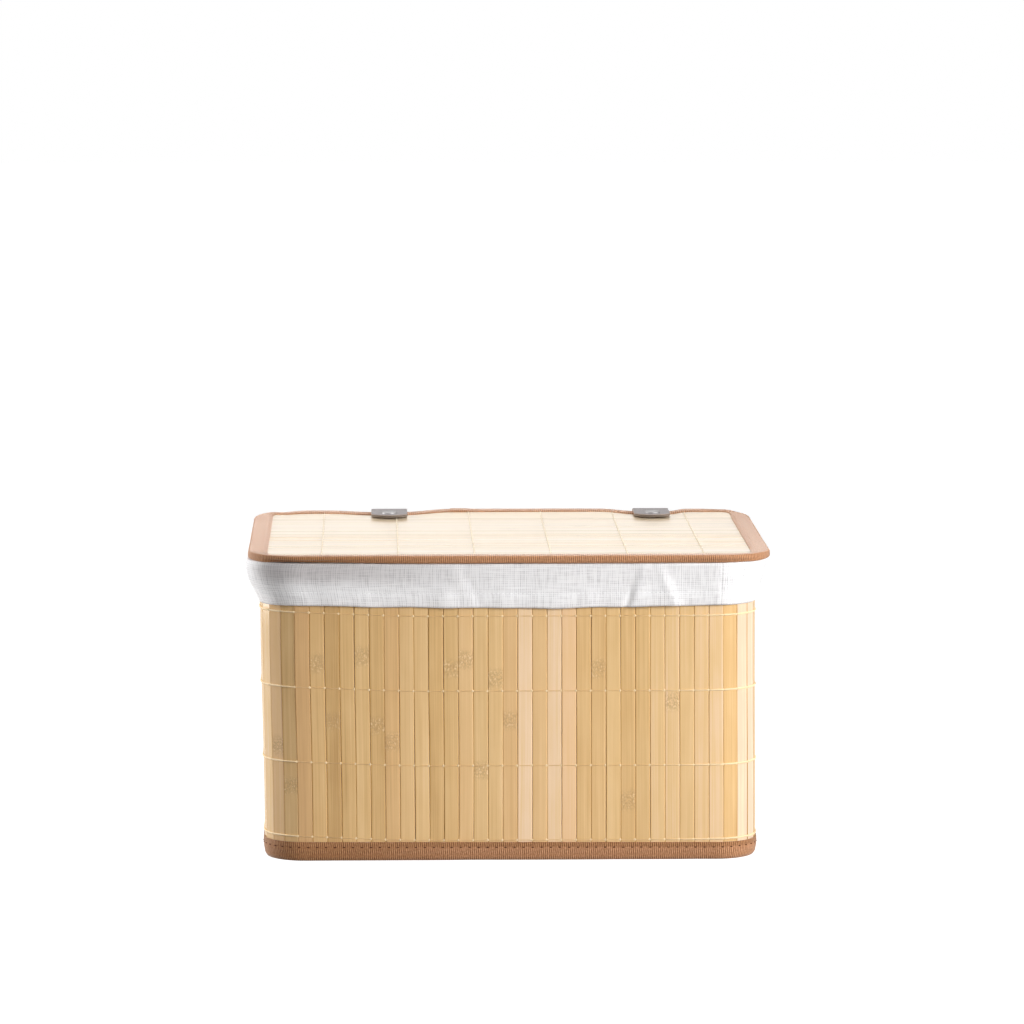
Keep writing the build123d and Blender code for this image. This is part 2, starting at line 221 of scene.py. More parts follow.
# Fold and crease in the front of the cuff: the fold opens from an apex at the rim
FOLD_APEX_X = 113 * MM
FOLD_LEFT_X = 99 * MM
FOLD_RIGHT_X = 134 * MM
FOLD_HEIGHT = 1.4 * MM
FOLD_LEFT_RAMP = 7 * MM
FOLD_RIGHT_RAMP = 9 * MM
FOLD_RIDGE_WIDTH = 5 * MM
FOLD_TUCK_WIDTH = 1.8 * MM
CREASE_TOP_X = -51 * MM
CREASE_HEM_X = -31 * MM
CREASE_HEIGHT = 0.35 * MM
CREASE_WIDTH = 5 * MM
HOLLOW_X = 8 * MM
HOLLOW_WIDTH = 4 * MM

# Cloth panels
PANEL_SIDES = 240
BASE_CLOTH_THICKNESS = 0.8 * MM
FLOOR_PUCKER = 0.15 * MM
BASE_PUCKER = 0.1 * MM
LINING_PUCKER = 0.12 * MM

# Hinge straps
STRAP_NODES = ("left_hinge_strap", "right_hinge_strap")
STRAP_WIDTH = 31 * MM
STRAP_THICKNESS = 2.4 * MM
STRAP_TIP_CROWN = 11 * MM
STRAP_TIP_EASE = 24 * MM
STRAP_TIP_STEPS = (0.0, 0.25 * MM, 0.6 * MM, 1.0 * MM)
STRAP_EDGE = 0.7 * MM
STRAP_RAW_EDGE = 0.45 * MM
STRAP_STEP = 1.5 * MM
STRAP_TURN = 3 * MM
STRAP_LANDING = 199.5 * MM
STRAP_BENDS = (2.4 * MM, 8 * MM, 8 * MM)

# Rivets; the tail is its radius and its height
RIVET_RADIUS = 6.5 * MM
RIVET_CAP = 2.0 * MM
RIVET_SHANK = 1.5 * MM
RIVET_TAIL = (2.5 * MM, 0.6 * MM)
RIVET_SIDES = 48

# Rear edge of the lid, which stands up between and beside the straps: each wave in millimetres, as the places
# where it starts, is full, starts to fall and ends, and its height
LID_WAVES = (
    (-235, -212, -200, -184, 1.5),
    (-200, -165, -150, -112, 1.4),
    (-84, -42, 85, 118, 2.5),
    (145, 160, 190, 205, 2.0),
    (188, 200, 206, 224, 1.2),
)
LID_WAVE_REACH = (90 * MM, 150 * MM)

# Lid's edge: its tape is turned under along the front, over shares of its half width at the left and right
LID_UPPER_LAYER = (1.5 * MM, 3.5 * MM)
LID_CORNER_SQUARENESS = 5
LID_FILL_MARGIN = -8 * MM
LID_FOLD_EDGE = 2 * MM
LID_CORNER_LIFT = 1.2 * MM
LID_LEFT_TUCK = 3.2 * MM
LID_LEFT_SPAN = (0.3, 0.95)
LID_RIGHT_TUCK = 2.0 * MM
LID_RIGHT_SPAN = (0.5, 0.95)

rng = np.random.default_rng(7)


# Curves of one value


def smoothstep(value, low, high):
    """Rise smoothly from 0 at low to 1 at high."""
    t = np.clip((value - low) / (high - low), 0, 1)
    return t * t * (3 - 2 * t)


def plateau(value, start, full, fall, end):
    """Rise from 0 to 1 and fall back to 0."""
    return smoothstep(value, start, full) * (1 - smoothstep(value, fall, end))


def hump(value, centre, width):
    """Bell of height 1 about a centre."""
    return np.exp(-(((value - centre) / width) ** 2))


def ripple(turns, waves, seed):
    """Sum of waves round a closed line, about -1 to 1; turns runs from 0 to 1 round it."""
    draw = np.random.default_rng(seed)
    phases = draw.uniform(0, 2 * math.pi, len(waves))
    total = sum(np.cos(2 * math.pi * (wave * turns) + phase) for wave, phase in zip(waves, phases))
    return total / math.sqrt(2 * len(waves))


def spread(*parts):
    """Vectors whose parts are spread to one shape."""
    return np.stack(np.broadcast_arrays(*parts), axis=-1)


def unit(vectors):
    return vectors / np.linalg.norm(vectors, axis=-1, keepdims=True)


def circle(first, second, sides):
    """Points round an ellipse with these half axes."""
    angles = np.linspace(0, 2 * math.pi, sides, endpoint=False)[:, None]
    return first * np.cos(angles) + second * np.sin(angles)


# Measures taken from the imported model


def span(*nodes):
    """Lowest and highest corners of some CAD nodes taken together."""
    boxes = [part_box(node) for node in nodes]
    return np.min([low for low, _ in boxes], axis=0), np.max([high for _, high in boxes], axis=0)


def middle_of(node):
    return np.mean(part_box(node), axis=0)


WALL_STRETCHES = (
    "front", "front_right_corner", "right", "rear_right_corner", "rear",
    "rear_left_corner", "left", "front_left_corner", "front",
)
_, wall_high = span(*[f"{stretch}_slats" for stretch in WALL_STRETCHES])
lid_low, lid_high = span("lid_binding")
lid_slat_low, lid_slat_high = span("lid_slats")
base_tape_low, base_tape_high = span("base_binding")
rim_tape_low, rim_tape_high = span("rim_binding")
liner_low, liner_high = span("liner_walls")
liner_floor_low, liner_floor_high = span("liner_floor")


class Outline:
    """Rounded rectangle, walked anticlockwise seen from above from the middle of its front."""

    def __init__(self, half_width, half_depth, radius):
        across = half_width - radius
        along = half_depth - radius
        arc = math.pi / 2 * radius
        runs = np.array([across, arc, 2 * along, arc, 2 * across, arc, 2 * along, arc, across])
        corners = [(across, -along), (across, along), (-across, along), (-across, -along)]
        self.bases = np.array([(0, -along)] + [corner for corner in corners for _ in range(2)])
        self.corner = np.array((across, along))
        self.radius = radius
        self.ends = np.cumsum(runs)
        self.starts = self.ends - runs
        self.length = self.ends[-1]

    def run(self, distance):
        """Index of the straight or corner run at a distance: even runs are straight."""
        place = np.searchsorted(self.ends, np.asarray(distance) % self.length, side="right")
        return np.minimum(place, len(self.ends) - 1)

    def walk(self, distance, margin=0.0):
        """Points at distances along the outline, moved out by a margin."""
        run = self.run(distance)
        along = np.asarray(distance) % self.length - self.starts[run]
        turning = run % 2 == 1
        heading = run // 2 * math.pi / 2 + np.where(turning, along / self.radius, 0.0)
        ahead = spread(np.cos(heading), np.sin(heading))
        normal = spread(np.sin(heading), -np.cos(heading))
        core = self.bases[run] + ahead * np.where(turning, 0.0, along)[..., None]
        return core + normal * np.asarray(self.radius + margin)[..., None]

    def ring(self, distance, margin, height):
        flat = self.walk(distance, margin)
        return spread(flat[..., 0], flat[..., 1], height)

    def half_width_at(self, y, margin):
        """Half of the outline's width at a distance from its middle line."""
        radius = self.radius + margin
        rise = np.clip(np.abs(y) - self.corner[1], 0, radius)
        return self.corner[0] + np.sqrt(radius**2 - rise**2)


body = Outline(wall_high[0], wall_high[1], BODY_CORNER_RADIUS)
lid = Outline(lid_high[0], lid_high[1], LID_CORNER_RADIUS)


# How the parts lie in use


def settle(points):
    """Move points of the wall: its ends are a little out of upright."""
    share = points[..., 0] / wall_high[0]
    z = points[..., 2]
    lean = smoothstep(z, *LEAN_HEIGHTS)
    right = RIGHT_SPREAD * np.clip(share, 0, 1) * (1 - RIGHT_SPREAD_LOSS * lean)
    left = LEFT_LEAN * np.clip(-share, 0, 1) * lean
    shift = (right - left) * (1 - smoothstep(z, *LEAN_TUCK_HEIGHTS))
    return points + shift[..., None] * (1, 0, 0)


def settle_base(points):
    """Move points of the base tape, which also narrows towards the right of the front."""
    x, y, z = np.moveaxis(points, -1, 0)
    loss = BASE_TAPE_LOSS * np.clip(0.5 + x / (2 * wall_high[0]), 0, 1) * smoothstep(-y, 0, wall_high[1])
    settled = settle(points) - (z * loss)[..., None] * (0, 0, 1)
    on_floor = (-FAR_AWAY, -FAR_AWAY, 0)
    return np.maximum(settled, on_floor)


def warp_lid(points):
    """Move points of the lid: waves along its rear edge, and a front tape turned under at its ends."""
    x, y, z = np.moveaxis(points, -1, 0)
    wave = sum(height * MM * plateau(x / MM, *places) for *places, height in LID_WAVES)
    upper = smoothstep(z - lid_low[2], *LID_UPPER_LAYER)
    front = smoothstep(-y, lid_high[1] - TAPE_LEG, lid_high[1] - LID_FOLD_EDGE) * (1 - upper)
    left = smoothstep(-x / lid_high[0], *LID_LEFT_SPAN)
    right = smoothstep(x / lid_high[0], *LID_RIGHT_SPAN)
    rise = wave * smoothstep(y, *LID_WAVE_REACH) * upper + LID_CORNER_LIFT * left * front
    tuck = (LID_LEFT_TUCK * left + LID_RIGHT_TUCK * right) * front
    return points + tuck[..., None] * (0, 1, 0) + rise[..., None] * (0, 0, 1)


def bend_lid_tape(points):
    """Move points of the lid's tape, whose inner edge has squarer corners than its outer one."""
    flat = points[..., :2]
    beyond = np.maximum(np.abs(flat) - lid.corner, 0)
    turning = (beyond > 0).all(axis=-1)
    radius = np.maximum(np.linalg.norm(beyond, axis=-1), LEAST_DIVISOR)
    share = beyond / radius[..., None]
    square = (share**LID_CORNER_SQUARENESS).sum(axis=-1) + ~turning
    stretch = 1 + (square ** (-1 / LID_CORNER_SQUARENESS) - 1) * (lid.radius - radius) / TAPE_LEG
    moved = np.sign(flat) * (lid.corner + beyond * stretch[..., None])
    flat = np.where(turning[..., None], moved, flat)
    return warp_lid(np.concatenate([flat, points[..., 2:]], axis=-1))


# Mesh making


class Shell:
    """Points, faces and point values gathered for one mesh."""

    def __init__(self):
        self.points = []
        self.faces = []
        self.values = {}
        self.count = 0

    def loft(self, rings, wrap=True, loop=False, caps=False, **values):
        """Skin rings: wrap closes each one, loop joins the last to the first, and caps fill the ends."""
        rows, columns = rings.shape[:2]
        index = self.count + np.arange(rows * columns).reshape(rows, columns)
        grid = np.concatenate([index, index[:, :1]], axis=1) if wrap else index
        grid = np.concatenate([grid, grid[:1]]) if loop else grid
        quads = np.stack([grid[:-1, :-1], grid[:-1, 1:], grid[1:, 1:], grid[1:, :-1]], axis=-1)
        self.faces.extend(quads.reshape(-1, 4).tolist())
        if caps:
            self.faces.append(index[0, ::-1].tolist())
            self.faces.append(index[-1].tolist())
        self.points.append(rings.reshape(-1, 3))
        for name, value in values.items():
            wide = np.broadcast_to(value, (rows, columns) + np.shape(value)[2:])
            self.values.setdefault(name, []).append(wide.reshape((rows * columns,) + wide.shape[2:]))
        self.count += rows * columns
        return self

    def build(self, name, material, sharp=50):
        """Make the object, with edges sharper than an angle in degrees left crisp."""
        mesh = bpy.data.meshes.new(name)
        mesh.from_pydata(np.concatenate(self.points).tolist(), [], self.faces)
        for key, parts in self.values.items():
            data = np.concatenate(parts).astype(np.float32)
            vector = data.ndim == 2
            attribute = mesh.attributes.new(key, "FLOAT_VECTOR" if vector else "FLOAT", "POINT")
            attribute.data.foreach_set("vector" if vector else "value", data.ravel())
        work = bmesh.new()
        work.from_mesh(mesh)
        bmesh.ops.recalc_face_normals(work, faces=work.faces)
        work.to_mesh(mesh)
        work.free()
        mesh.shade_smooth()
        mesh.set_sharp_from_angle(angle=math.radians(sharp))
        mesh.materials.append(material)
        return place_object(name, mesh)


def place_object(name, data):
    thing = bpy.data.objects.new(name, data)
    bpy.context.scene.collection.objects.link(thing)
    return thing


def attach(piece, rides_on, slot, *nodes):
    """Let a piece ride on a body and stand for CAD nodes, whose parts it hides; slot is not used."""
    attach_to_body(piece, rides_on)
    if nodes:
        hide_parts(*nodes)


def fillet_path(corners, radii, step):
    """Points along a line of straight runs joined by arcs, about a step apart on the runs."""
    corners = [np.array(corner, float) for corner in corners]
    stops = [corners[0]]
    for before, corner, after, radius in zip(corners, corners[1:], corners[2:], radii):
        back = unit(before - corner)
        ahead = unit(after - corner)
        half = math.acos(np.clip(back @ ahead, -1, 1)) / 2
        centre = corner + unit(back + ahead) * radius / math.sin(half)
        first = corner + back * radius / math.tan(half)
        last = corner + ahead * radius / math.tan(half)
        stops.extend(straight(stops[-1], first, step))
        stops.extend(arc_points(centre, first, last))
    stops.extend(straight(stops[-1], corners[-1], step))
    return np.array(stops)


def straight(start, end, step):
    """Points after the first on a straight run."""
    count = max(1, round(np.linalg.norm(end - start) / step))
    return [start + (end - start) * k / count for k in range(1, count + 1)]


def arc_points(centre, first, last):
    """Points after the first on the shorter arc between two points about a centre."""
    start = math.atan2(*(first - centre)[::-1])
    turn = (math.atan2(*(last - centre)[::-1]) - start + math.pi) % (2 * math.pi) - math.pi
    radius = np.linalg.norm(first - centre)
    count = max(3, round(abs(turn) / math.radians(14)))
    angles = start + turn * np.arange(1, count + 1) / count
    return list(centre + radius * spread(np.cos(angles), np.sin(angles)))


def path_lengths(path):
    """Distance along a path at each of its points."""
    return np.concatenate([[0], np.cumsum(np.linalg.norm(np.diff(path, axis=0), axis=1))])


def path_normals(path):
    """Unit normals to the left of a path in a plane."""
    ahead = unit(np.gradient(path, axis=0))
    return spread(-ahead[:, 1], ahead[:, 0])


def strand(shell, path, radius, up, along, twist_radius, **values):
    """Round strand along a path that never runs up; along and twist_radius place the twist of its finish."""
    ahead = unit(np.gradient(path, axis=0))
    side = unit(np.cross(ahead, up))
    spokes = circle(side[:, None], np.cross(side, ahead)[:, None], STRAND_SIDES)
    radius = np.broadcast_to(radius, len(path))[:, None, None]
    twist = spread(along[:, None], np.arange(STRAND_SIDES) * twist_radius, 0.0)
    shell.loft(path[:, None] + spokes * radius, caps=True, twist=twist, **values)


def knot(shell, centre, axes):
    """Small rounded lump of thread; axes are the directions of its three radii."""
    sides, rows = 8, 5
    lift = np.linspace(-1, 1, rows + 2)[1:-1, None, None] * 0.97
    first, second, third = (np.array(axis) * radius for axis, radius in zip(axes, KNOT_RADII))
    rings = centre + np.sqrt(1 - lift**2) * circle(first, second, sides) + lift * third
    # The knots take the thread's full painted highlight
    shell.loft(rings, caps=True, knot=1.0, twist=np.zeros((rows, sides, 3)))


# Materials


class Nodes:
    """Short ways to add shader nodes to a tree."""

    def __init__(self, tree):
        self.tree = tree

    def node(self, kind):
        return self.tree.nodes.new(f"ShaderNode{kind}")

    def feed(self, socket, source):
        """Set an input socket from a node's output or from a plain value."""
        if isinstance(source, bpy.types.NodeSocket):
            self.tree.links.new(source, socket)
        else:
            socket.default_value = source

    def math(self, operation, *values):
        node = self.node("Math")
        node.operation = operation
        for socket, value in zip(node.inputs, values):
            self.feed(socket, value)
        return node.outputs[0]

    def span(self, value, low, high, out_low=0.0, out_high=1.0):
        """Map a value smoothly from one span onto another."""
        node = self.node("MapRange")
        node.interpolation_type = "SMOOTHSTEP"
        for socket, number in zip(node.inputs, (value, low, high, out_low, out_high)):
            self.feed(socket, number)
        return node.outputs["Result"]


class Finish(Nodes):
    """Material with a Principled shader, whose inputs take the settings."""

    def __init__(self, name, **settings):
        self.material = bpy.data.materials.new(name)
        self.material.use_nodes = True
        super().__init__(self.material.node_tree)
        self.shader = self.tree.nodes["Principled BSDF"]
        for socket, value in settings.items():
            title = socket.replace("_", " ").title().replace("Ior", "IOR")
            self.shader.inputs[title].default_value = value

    def value(self, name):
        return self.attribute(name).outputs["Fac"]

    def place(self, name):
        return self.attribute(name).outputs["Vector"]

    def attribute(self, name):
        node = self.node("Attribute")
        node.attribute_name = name
        return node

    def object_place(self):
        return self.node("TexCoord").outputs["Object"]

    def texture(self, kind, vector, stretch, **settings):
        """Texture over coordinates that are stretched along each axis."""
        mapping = self.node("Mapping")
        self.feed(mapping.inputs["Vector"], vector)
        mapping.inputs["Scale"].default_value = stretch
        node = self.node(kind)
        self.feed(node.inputs["Vector"], mapping.outputs["Vector"])
        for name, value in settings.items():
            node.inputs[name.title()].default_value = value
        return node

    def noise(self, vector, stretch, detail=3.0, roughness=0.55):
        node = self.texture("TexNoise", vector, stretch, scale=1.0, detail=detail, roughness=roughness)
        return node.outputs["Fac"]

    def wave(self, vector, stretch, distortion=0.0, along="X"):
        """Sine bands along an axis of the stretched coordinates, one band per unit."""
        node = self.texture("TexWave", vector, stretch, scale=math.pi / 10, distortion=distortion)
        node.bands_direction = along
        return node.outputs["Fac"]

    def blend(self, *layers):
        """Sum of values, each times its weight."""
        total = 0.0
        for value, weight in layers:
            total = self.math("MULTIPLY_ADD", value, weight, total)
        return total

    def mix(self, share, first, second, mode="MIX"):
        """Mix a colour into another by a share; the second is a plain colour."""
        node = self.node("Mix")
        node.data_type = "RGBA"
        node.blend_type = mode
        self.feed(node.inputs["Factor"], share)
        self.feed(node.inputs[6], first)
        self.feed(node.inputs[7], (*second, 1))
        return node.outputs[2]

    def ramp(self, value, *stops):
        """Colours along a value, each stop a place and a colour."""
        node = self.node("ValToRGB")
        band = node.color_ramp
        while len(band.elements) < len(stops):
            band.elements.new(0.5)
        for element, (place, colour) in zip(band.elements, stops):
            element.position = place
            element.color = (*colour, 1)
        self.feed(node.inputs["Fac"], value)
        return node.outputs["Color"]

    def colour(self, source):
        self.feed(self.shader.inputs["Base Color"], source)

    def roughness(self, source):
        self.feed(self.shader.inputs["Roughness"], source)

    def relief(self, height, distance, strength=1.0):
        """Bump the surface by a height times a distance."""
        node = self.node("Bump")
        node.inputs["Strength"].default_value = strength
        node.inputs["Distance"].default_value = distance
        self.feed(node.inputs["Height"], height)
        self.feed(self.shader.inputs["Normal"], node.outputs["Normal"])


def bamboo_finish(name, lacquer, painted_top_light, dark_sides_and_painted_shade):
    """Lacquered split bamboo: long fibres, a tone for each slat, mottled scars, brown on each slat's left edge,
    part split side and part painted shade, and painted light that pales a lit top.
    """
    finish = Finish(name, specular_ior_level=0.0, coat_weight=lacquer, coat_roughness=0.14, coat_ior=1.55)
    grain = finish.place("grain")
    fibres = finish.noise(grain, (1100, 9, 60), detail=4)
    streaks = finish.noise(grain, (420, 5, 60), detail=2)
    clouds = finish.noise(grain, (70, 22, 60), detail=2)
    level = finish.blend((fibres, 0.46), (streaks, 0.38), (clouds, 0.26), (finish.value("tone"), 0.24))
    colour = finish.ramp(
        finish.math("MULTIPLY", level, 0.8),
        (0.04, (0.44, 0.245, 0.08)),
        (0.32, (0.667, 0.421, 0.175)),
        (0.54, (0.777, 0.525, 0.252)),
        (0.84, (0.873, 0.641, 0.443)),
        (0.92, (0.72, 0.545, 0.385)),
    )
    # Brown on the left edge of each slat: the split side, darkened further as painted shade on the edge turned
    # from the light
    sides = finish.math("MULTIPLY", finish.value("side"), dark_sides_and_painted_shade)
    colour = finish.mix(sides, colour, (0.5, 0.25, 0.045))
    blush = finish.noise(grain, (0, 0, 31), detail=0)
    colour = finish.mix(finish.span(blush, 0.45, 0.7, 0, 0.42), colour, (0.81, 0.49, 0.255))
    colour, scar_height = scar_marks(finish, grain, colour)
    # Painted light: cream mixed in to pale a lit top
    finish.colour(finish.mix(painted_top_light, colour, (0.95, 0.885, 0.74)))
    finish.relief(finish.math("ADD", scar_height, fibres), 0.05 * MM, 0.7)
    return finish.material


def scar_marks(finish, grain, colour):
    """Dark and pale curls about a cane's node; gives the colour and the curls' height."""
    drift = finish.math("SUBTRACT", finish.noise(grain, (180, 60, 60)), 0.5)
    away = finish.math("ABSOLUTE", finish.math("MULTIPLY_ADD", drift, SCAR_DRIFT, finish.value("scar")))
    near = finish.span(away, *SCAR_REACH, 1, 0)
    curls = finish.noise(grain, (700, 430, 60), detail=3)
    ridges = finish.math("ABSOLUTE", finish.math("SUBTRACT", curls, 0.5))
    dark = finish.math("MULTIPLY", near, finish.span(ridges, 0.0, 0.1, 0.58, 0))
    colour = finish.mix(dark, colour, (0.43, 0.26, 0.11))
    pale = finish.math("MULTIPLY", near, finish.span(curls, 0.55, 0.7, 0, 0.55))
    return finish.mix(pale, colour, (0.88, 0.69, 0.43)), finish.math("MULTIPLY", near, curls)


def thread_finish(name, bright):
    """Twisted thread, dull where it lies on a slat, with a painted highlight on its knots and at the corners.
    """
    finish = Finish(name, roughness=0.55)
    turns = finish.wave(finish.place("twist"), (1500, 900, 0))
    # The knot value paints the thread's highlight
    shade = finish.ramp(finish.value("knot"), (0.0, (0.72, 0.48, 0.22)), (1.0, bright))
    finish.colour(finish.mix(finish.span(turns, 0.2, 0.8, 0.25, 0), shade, (0.42, 0.30, 0.16)))
    finish.relief(turns, 0.06 * MM)
    return finish.material


def tape_finish():
    """Brown webbing: fine ribs, broken into a twill, darker along the sewn edge, and with painted shade towards
    the left of the front.
    """
    finish = Finish("webbing", roughness=0.82, sheen_weight=0.4, sheen_roughness=0.4)
    finish.shader.inputs["Sheen Tint"].default_value = (1.0, 0.93, 0.88, 1)
    place = finish.place("tape")
    ribs = finish.wave(place, (592, 0, 0), distortion=0.3)
    twill = finish.wave(place, (1184, 330, 0), distortion=0.8, along="DIAGONAL")
    yarn = finish.noise(place, (600, 520, 1), detail=3, roughness=0.65)
    patch = finish.noise(place, (45, 90, 1), detail=2)
    height = finish.blend((ribs, 0.7), (twill, 0.3))
    colour = finish.ramp(
        finish.blend((height, 0.42), (yarn, 0.53), (patch, 0.05)),
        (0.26, (0.185, 0.073, 0.026)),
        (0.5, (0.405, 0.184, 0.08)),
        (0.74, (0.69, 0.37, 0.20)),
    )
    # Darker sewn edge, with the painted shade at the left of the front
    finish.colour(finish.mix(finish.value("strip"), colour, (0.78, 0.73, 0.6), "MULTIPLY"))
    finish.relief(finish.blend((height, 1.0), (yarn, 0.5)), 0.15 * MM)
    return finish.material


def stitch_finish(name, dark, light):
    finish = Finish(name, roughness=0.7, specular_ior_level=0.15)
    turns = finish.wave(finish.place("twist"), (1300, 800, 0))
    finish.colour(finish.ramp(turns, (0.2, dark), (0.8, light)))
    finish.relief(turns, 0.08 * MM)
    return finish.material


def cloth_finish(name, light, dark, slub):
    """Plain weave of uneven slubby yarns, greyer where a single layer lets the wall show, and where shade is
    painted on the cuff.
    """
    finish = Finish(name, roughness=0.9, sheen_weight=0.2, sheen_roughness=0.6)
    place = finish.place("cloth")
    upright = finish.noise(place, (950, 55, 1), detail=2)
    level = finish.noise(place, (50, 800, 1), detail=2)
    slubs_up = finish.span(finish.noise(place, (420, 18, 1), detail=1), 0.58, 0.75, 0, slub)
    slubs_level = finish.span(finish.noise(place, (18, 420, 1), detail=1), 0.58, 0.75, 0, slub)
    warp = finish.wave(place, (592, 0, 0), distortion=1.5)
    weft = finish.wave(place, (0, 592, 0), distortion=1.5, along="Y")
    yarns = finish.blend((upright, 0.5), (level, 0.36), (slubs_up, 0.12), (slubs_level, 0.12))
    weave = finish.blend((warp, 0.1), (weft, 0.08))
    cloth = finish.math("ADD", weave, yarns)
    colour = finish.ramp(cloth, (0.34, dark), (0.57, light))
    # The single value greys the cloth for the wall showing through and for painted shade
    finish.colour(finish.mix(finish.value("single"), colour, (0.66, 0.635, 0.63), "MULTIPLY"))
    finish.relief(cloth, 0.16 * MM, 0.8)
    return finish.material


def strap_finish():
    """Grey leatherette with a fine pebbled grain and darker raw edges."""
    finish = Finish("strap_leatherette", specular_ior_level=0.45)
    place = finish.place("strap")
    pebbles = finish.texture("TexVoronoi", place, (1100, 1100, 1), scale=1.0)
    grain = finish.span(pebbles.outputs["Distance"], 0.1, 0.7)
    mottle = finish.noise(place, (160, 160, 1), detail=3)
    skin = finish.ramp(mottle, (0.3, (0.208, 0.183, 0.184)), (0.7, (0.288, 0.26, 0.261)))
    skin = finish.mix(finish.math("MULTIPLY", grain, 0.25), skin, (0.16, 0.145, 0.14))
    finish.colour(finish.mix(finish.value("edge"), skin, (0.3, 0.235, 0.19)))
    finish.roughness(finish.span(mottle, 0.3, 0.7, 0.42, 0.56))
    finish.relief(grain, 0.09 * MM, 0.8)
    return finish.material


def metal_finish(name, colour, streak_scale, low, high):
    """Metal with faint rubbing marks, between two roughnesses."""
    finish = Finish(name, metallic=1.0)
    marks = finish.noise(finish.object_place(), streak_scale, detail=3)
    shade = tuple(0.8 * part for part in colour)
    finish.colour(finish.ramp(marks, (0.3, shade), (0.7, colour)))
    finish.roughness(finish.span(marks, 0.3, 0.7, low, high))
    finish.relief(marks, 0.01 * MM, 0.5)
    return finish.material


def board_finish():
    finish = Finish("board", roughness=0.8)
    place = finish.object_place()
    chips = finish.noise(place, (900, 900, 900), detail=4)
    clouds = finish.noise(place, (60, 60, 60), detail=2)
    level = finish.blend((chips, 0.7), (clouds, 0.3))
    finish.colour(finish.ramp(level, (0.3, (0.28, 0.185, 0.11)), (0.7, (0.50, 0.37, 0.24))))
    finish.relief(chips, 0.1 * MM, 0.6)
    return finish.material


# Slats


def rounded_edge(width, drop):
    """Curve from the side of a slat up to its face."""
    angles = np.linspace(0, math.pi / 2, 5)
    return spread(width * (1 - np.cos(angles)), drop * (np.sin(angles) - 1))


def slat_section(width, left_edge, right_edge):
    """Section across a slat, as points across it and out from its face."""
    left = rounded_edge(*left_edge) - (width / 2, 0)
    right = rounded_edge(*right_edge)[::-1] * (-1, 1) + (width / 2, 0)
    middle = spread(np.linspace(left[0, 0] + SLAT_SIDE, right[0, 0] - SLAT_SIDE, 5), 0.0)
    back_x = width / 2 - SLAT_BACK_INSET
    back = np.array([(back_x, -SLAT_THICKNESS), (-back_x, -SLAT_THICKNESS)])
    section = np.concatenate([left, middle, right, back])
    crown = SLAT_CROWN * (2 * section[:, 0] / width) ** 2
    section[:, 1] -= np.where(section[:, 1] > -SLAT_THICKNESS, crown, 0)
    return section


def add_slat(shell, start, across, out, ahead, section, length, tone, scar, bend_to):
    """One slat from its start; scar is its node's distance along it, and bend_to moves its points."""
    rows = np.linspace(0, length, round(length / SLAT_ROW_STEP) + 1)
    phase, sway, sink, twist = rng.uniform(0, 1, 4)
    bend = np.sin(math.pi * (rows / length * (1 + sway) + 2 * phase))
    shift = SLAT_SWAY * (sway - 0.5) * 2 * bend
    depth = -SLAT_SINK * (0.5 + 0.5 * sink * bend)
    lean = np.sin(SLAT_TWIST * (2 * twist - 1) + 0.4 * SLAT_TWIST * bend)[:, None]
    u = section[:, 0] + shift[:, None] - section[:, 1] * lean
    n = section[:, 1] + depth[:, None] + section[:, 0] * lean
    points = start + u[..., None] * across + n[..., None] * out + rows[:, None, None] * ahead
    grain = spread(section[:, 0], rows[:, None], rng.uniform(0, 50))
    to_scar = (rows - scar)[:, None] if scar is not None else FAR_AWAY
    left = section[:, 0].min()
    # Left edge only: painted shade where the edge turns from the light, over the brown of the split side
    side = 1 - smoothstep(section[:, 0], left + 0.2 * SLAT_SIDE, left + SLAT_SIDE)
    shell.loft(bend_to(points), caps=True, grain=grain, side=side, tone=tone, scar=to_scar)


class WallSlat:
    """Place of one upright slat: middle of its face, direction across it and outward normal."""

    def __init__(self, index, pitch, width):
        middle = index * pitch
        ends = body.walk(np.array([middle - width / 2, middle + width / 2]))
        chord = ends[1] - ends[0]
        self.width = np.linalg.norm(chord)
        self.across = np.array([*(chord / self.width), 0.0])
        self.out = np.array([self.across[1], -self.across[0], 0.0])
        self.middle = np.array([*ends.mean(axis=0), 0.0])
        self.stretch = WALL_STRETCHES[int(body.run(middle))]


wall_slat_count = round(body.length / SLAT_PITCH)
wall_slat_pitch = body.length / wall_slat_count
wall_slats = [WallSlat(k, wall_slat_pitch, wall_slat_pitch - SLAT_GAP) for k in range(wall_slat_count)]


def drawn_tone(spread_of_tone, limit):
    return float(np.clip(rng.normal(0, spread_of_tone), -limit, limit))


def wall_slat_traits(index):
    """Tone and scar height of a wall slat: chosen on the front, drawn elsewhere."""
    tone = drawn_tone(WALL_TONE_SPREAD, WALL_TONE_LIMIT)
    scar = rng.uniform(*SCAR_HEIGHTS) if rng.uniform() < SCAR_CHANCE else None
    place = index if index <= wall_slat_count / 2 else index - wall_slat_count
    if abs(place) > FRONT_REACH:
        return tone, scar
    scar = FRONT_SCARS[place] * MM if place in FRONT_SCARS else None
    return FRONT_TONES_AND_PAINTED_LIGHT[FRONT_REACH + place], scar


def make_wall_slats(material):
    length = wall_high[2] - SLAT_START
    up = np.array([0.0, 0.0, 1.0])
    shells = {stretch: Shell() for stretch in WALL_STRETCHES}
    for index, slat in enumerate(wall_slats):
        tone, scar = wall_slat_traits(index)
        start = slat.middle + up * SLAT_START
        scar_along = None if scar is None else scar - SLAT_START
        section = slat_section(slat.width, SLAT_LEFT_EDGE, SLAT_RIGHT_EDGE)
        shell = shells[slat.stretch]
        add_slat(shell, start, slat.across, slat.out, up, section, length, tone, scar_along, settle)
    for stretch, shell in shells.items():
        attach(shell.build(f"bamboo_{stretch}", material), "basket", "bamboo", f"{stretch}_slats")


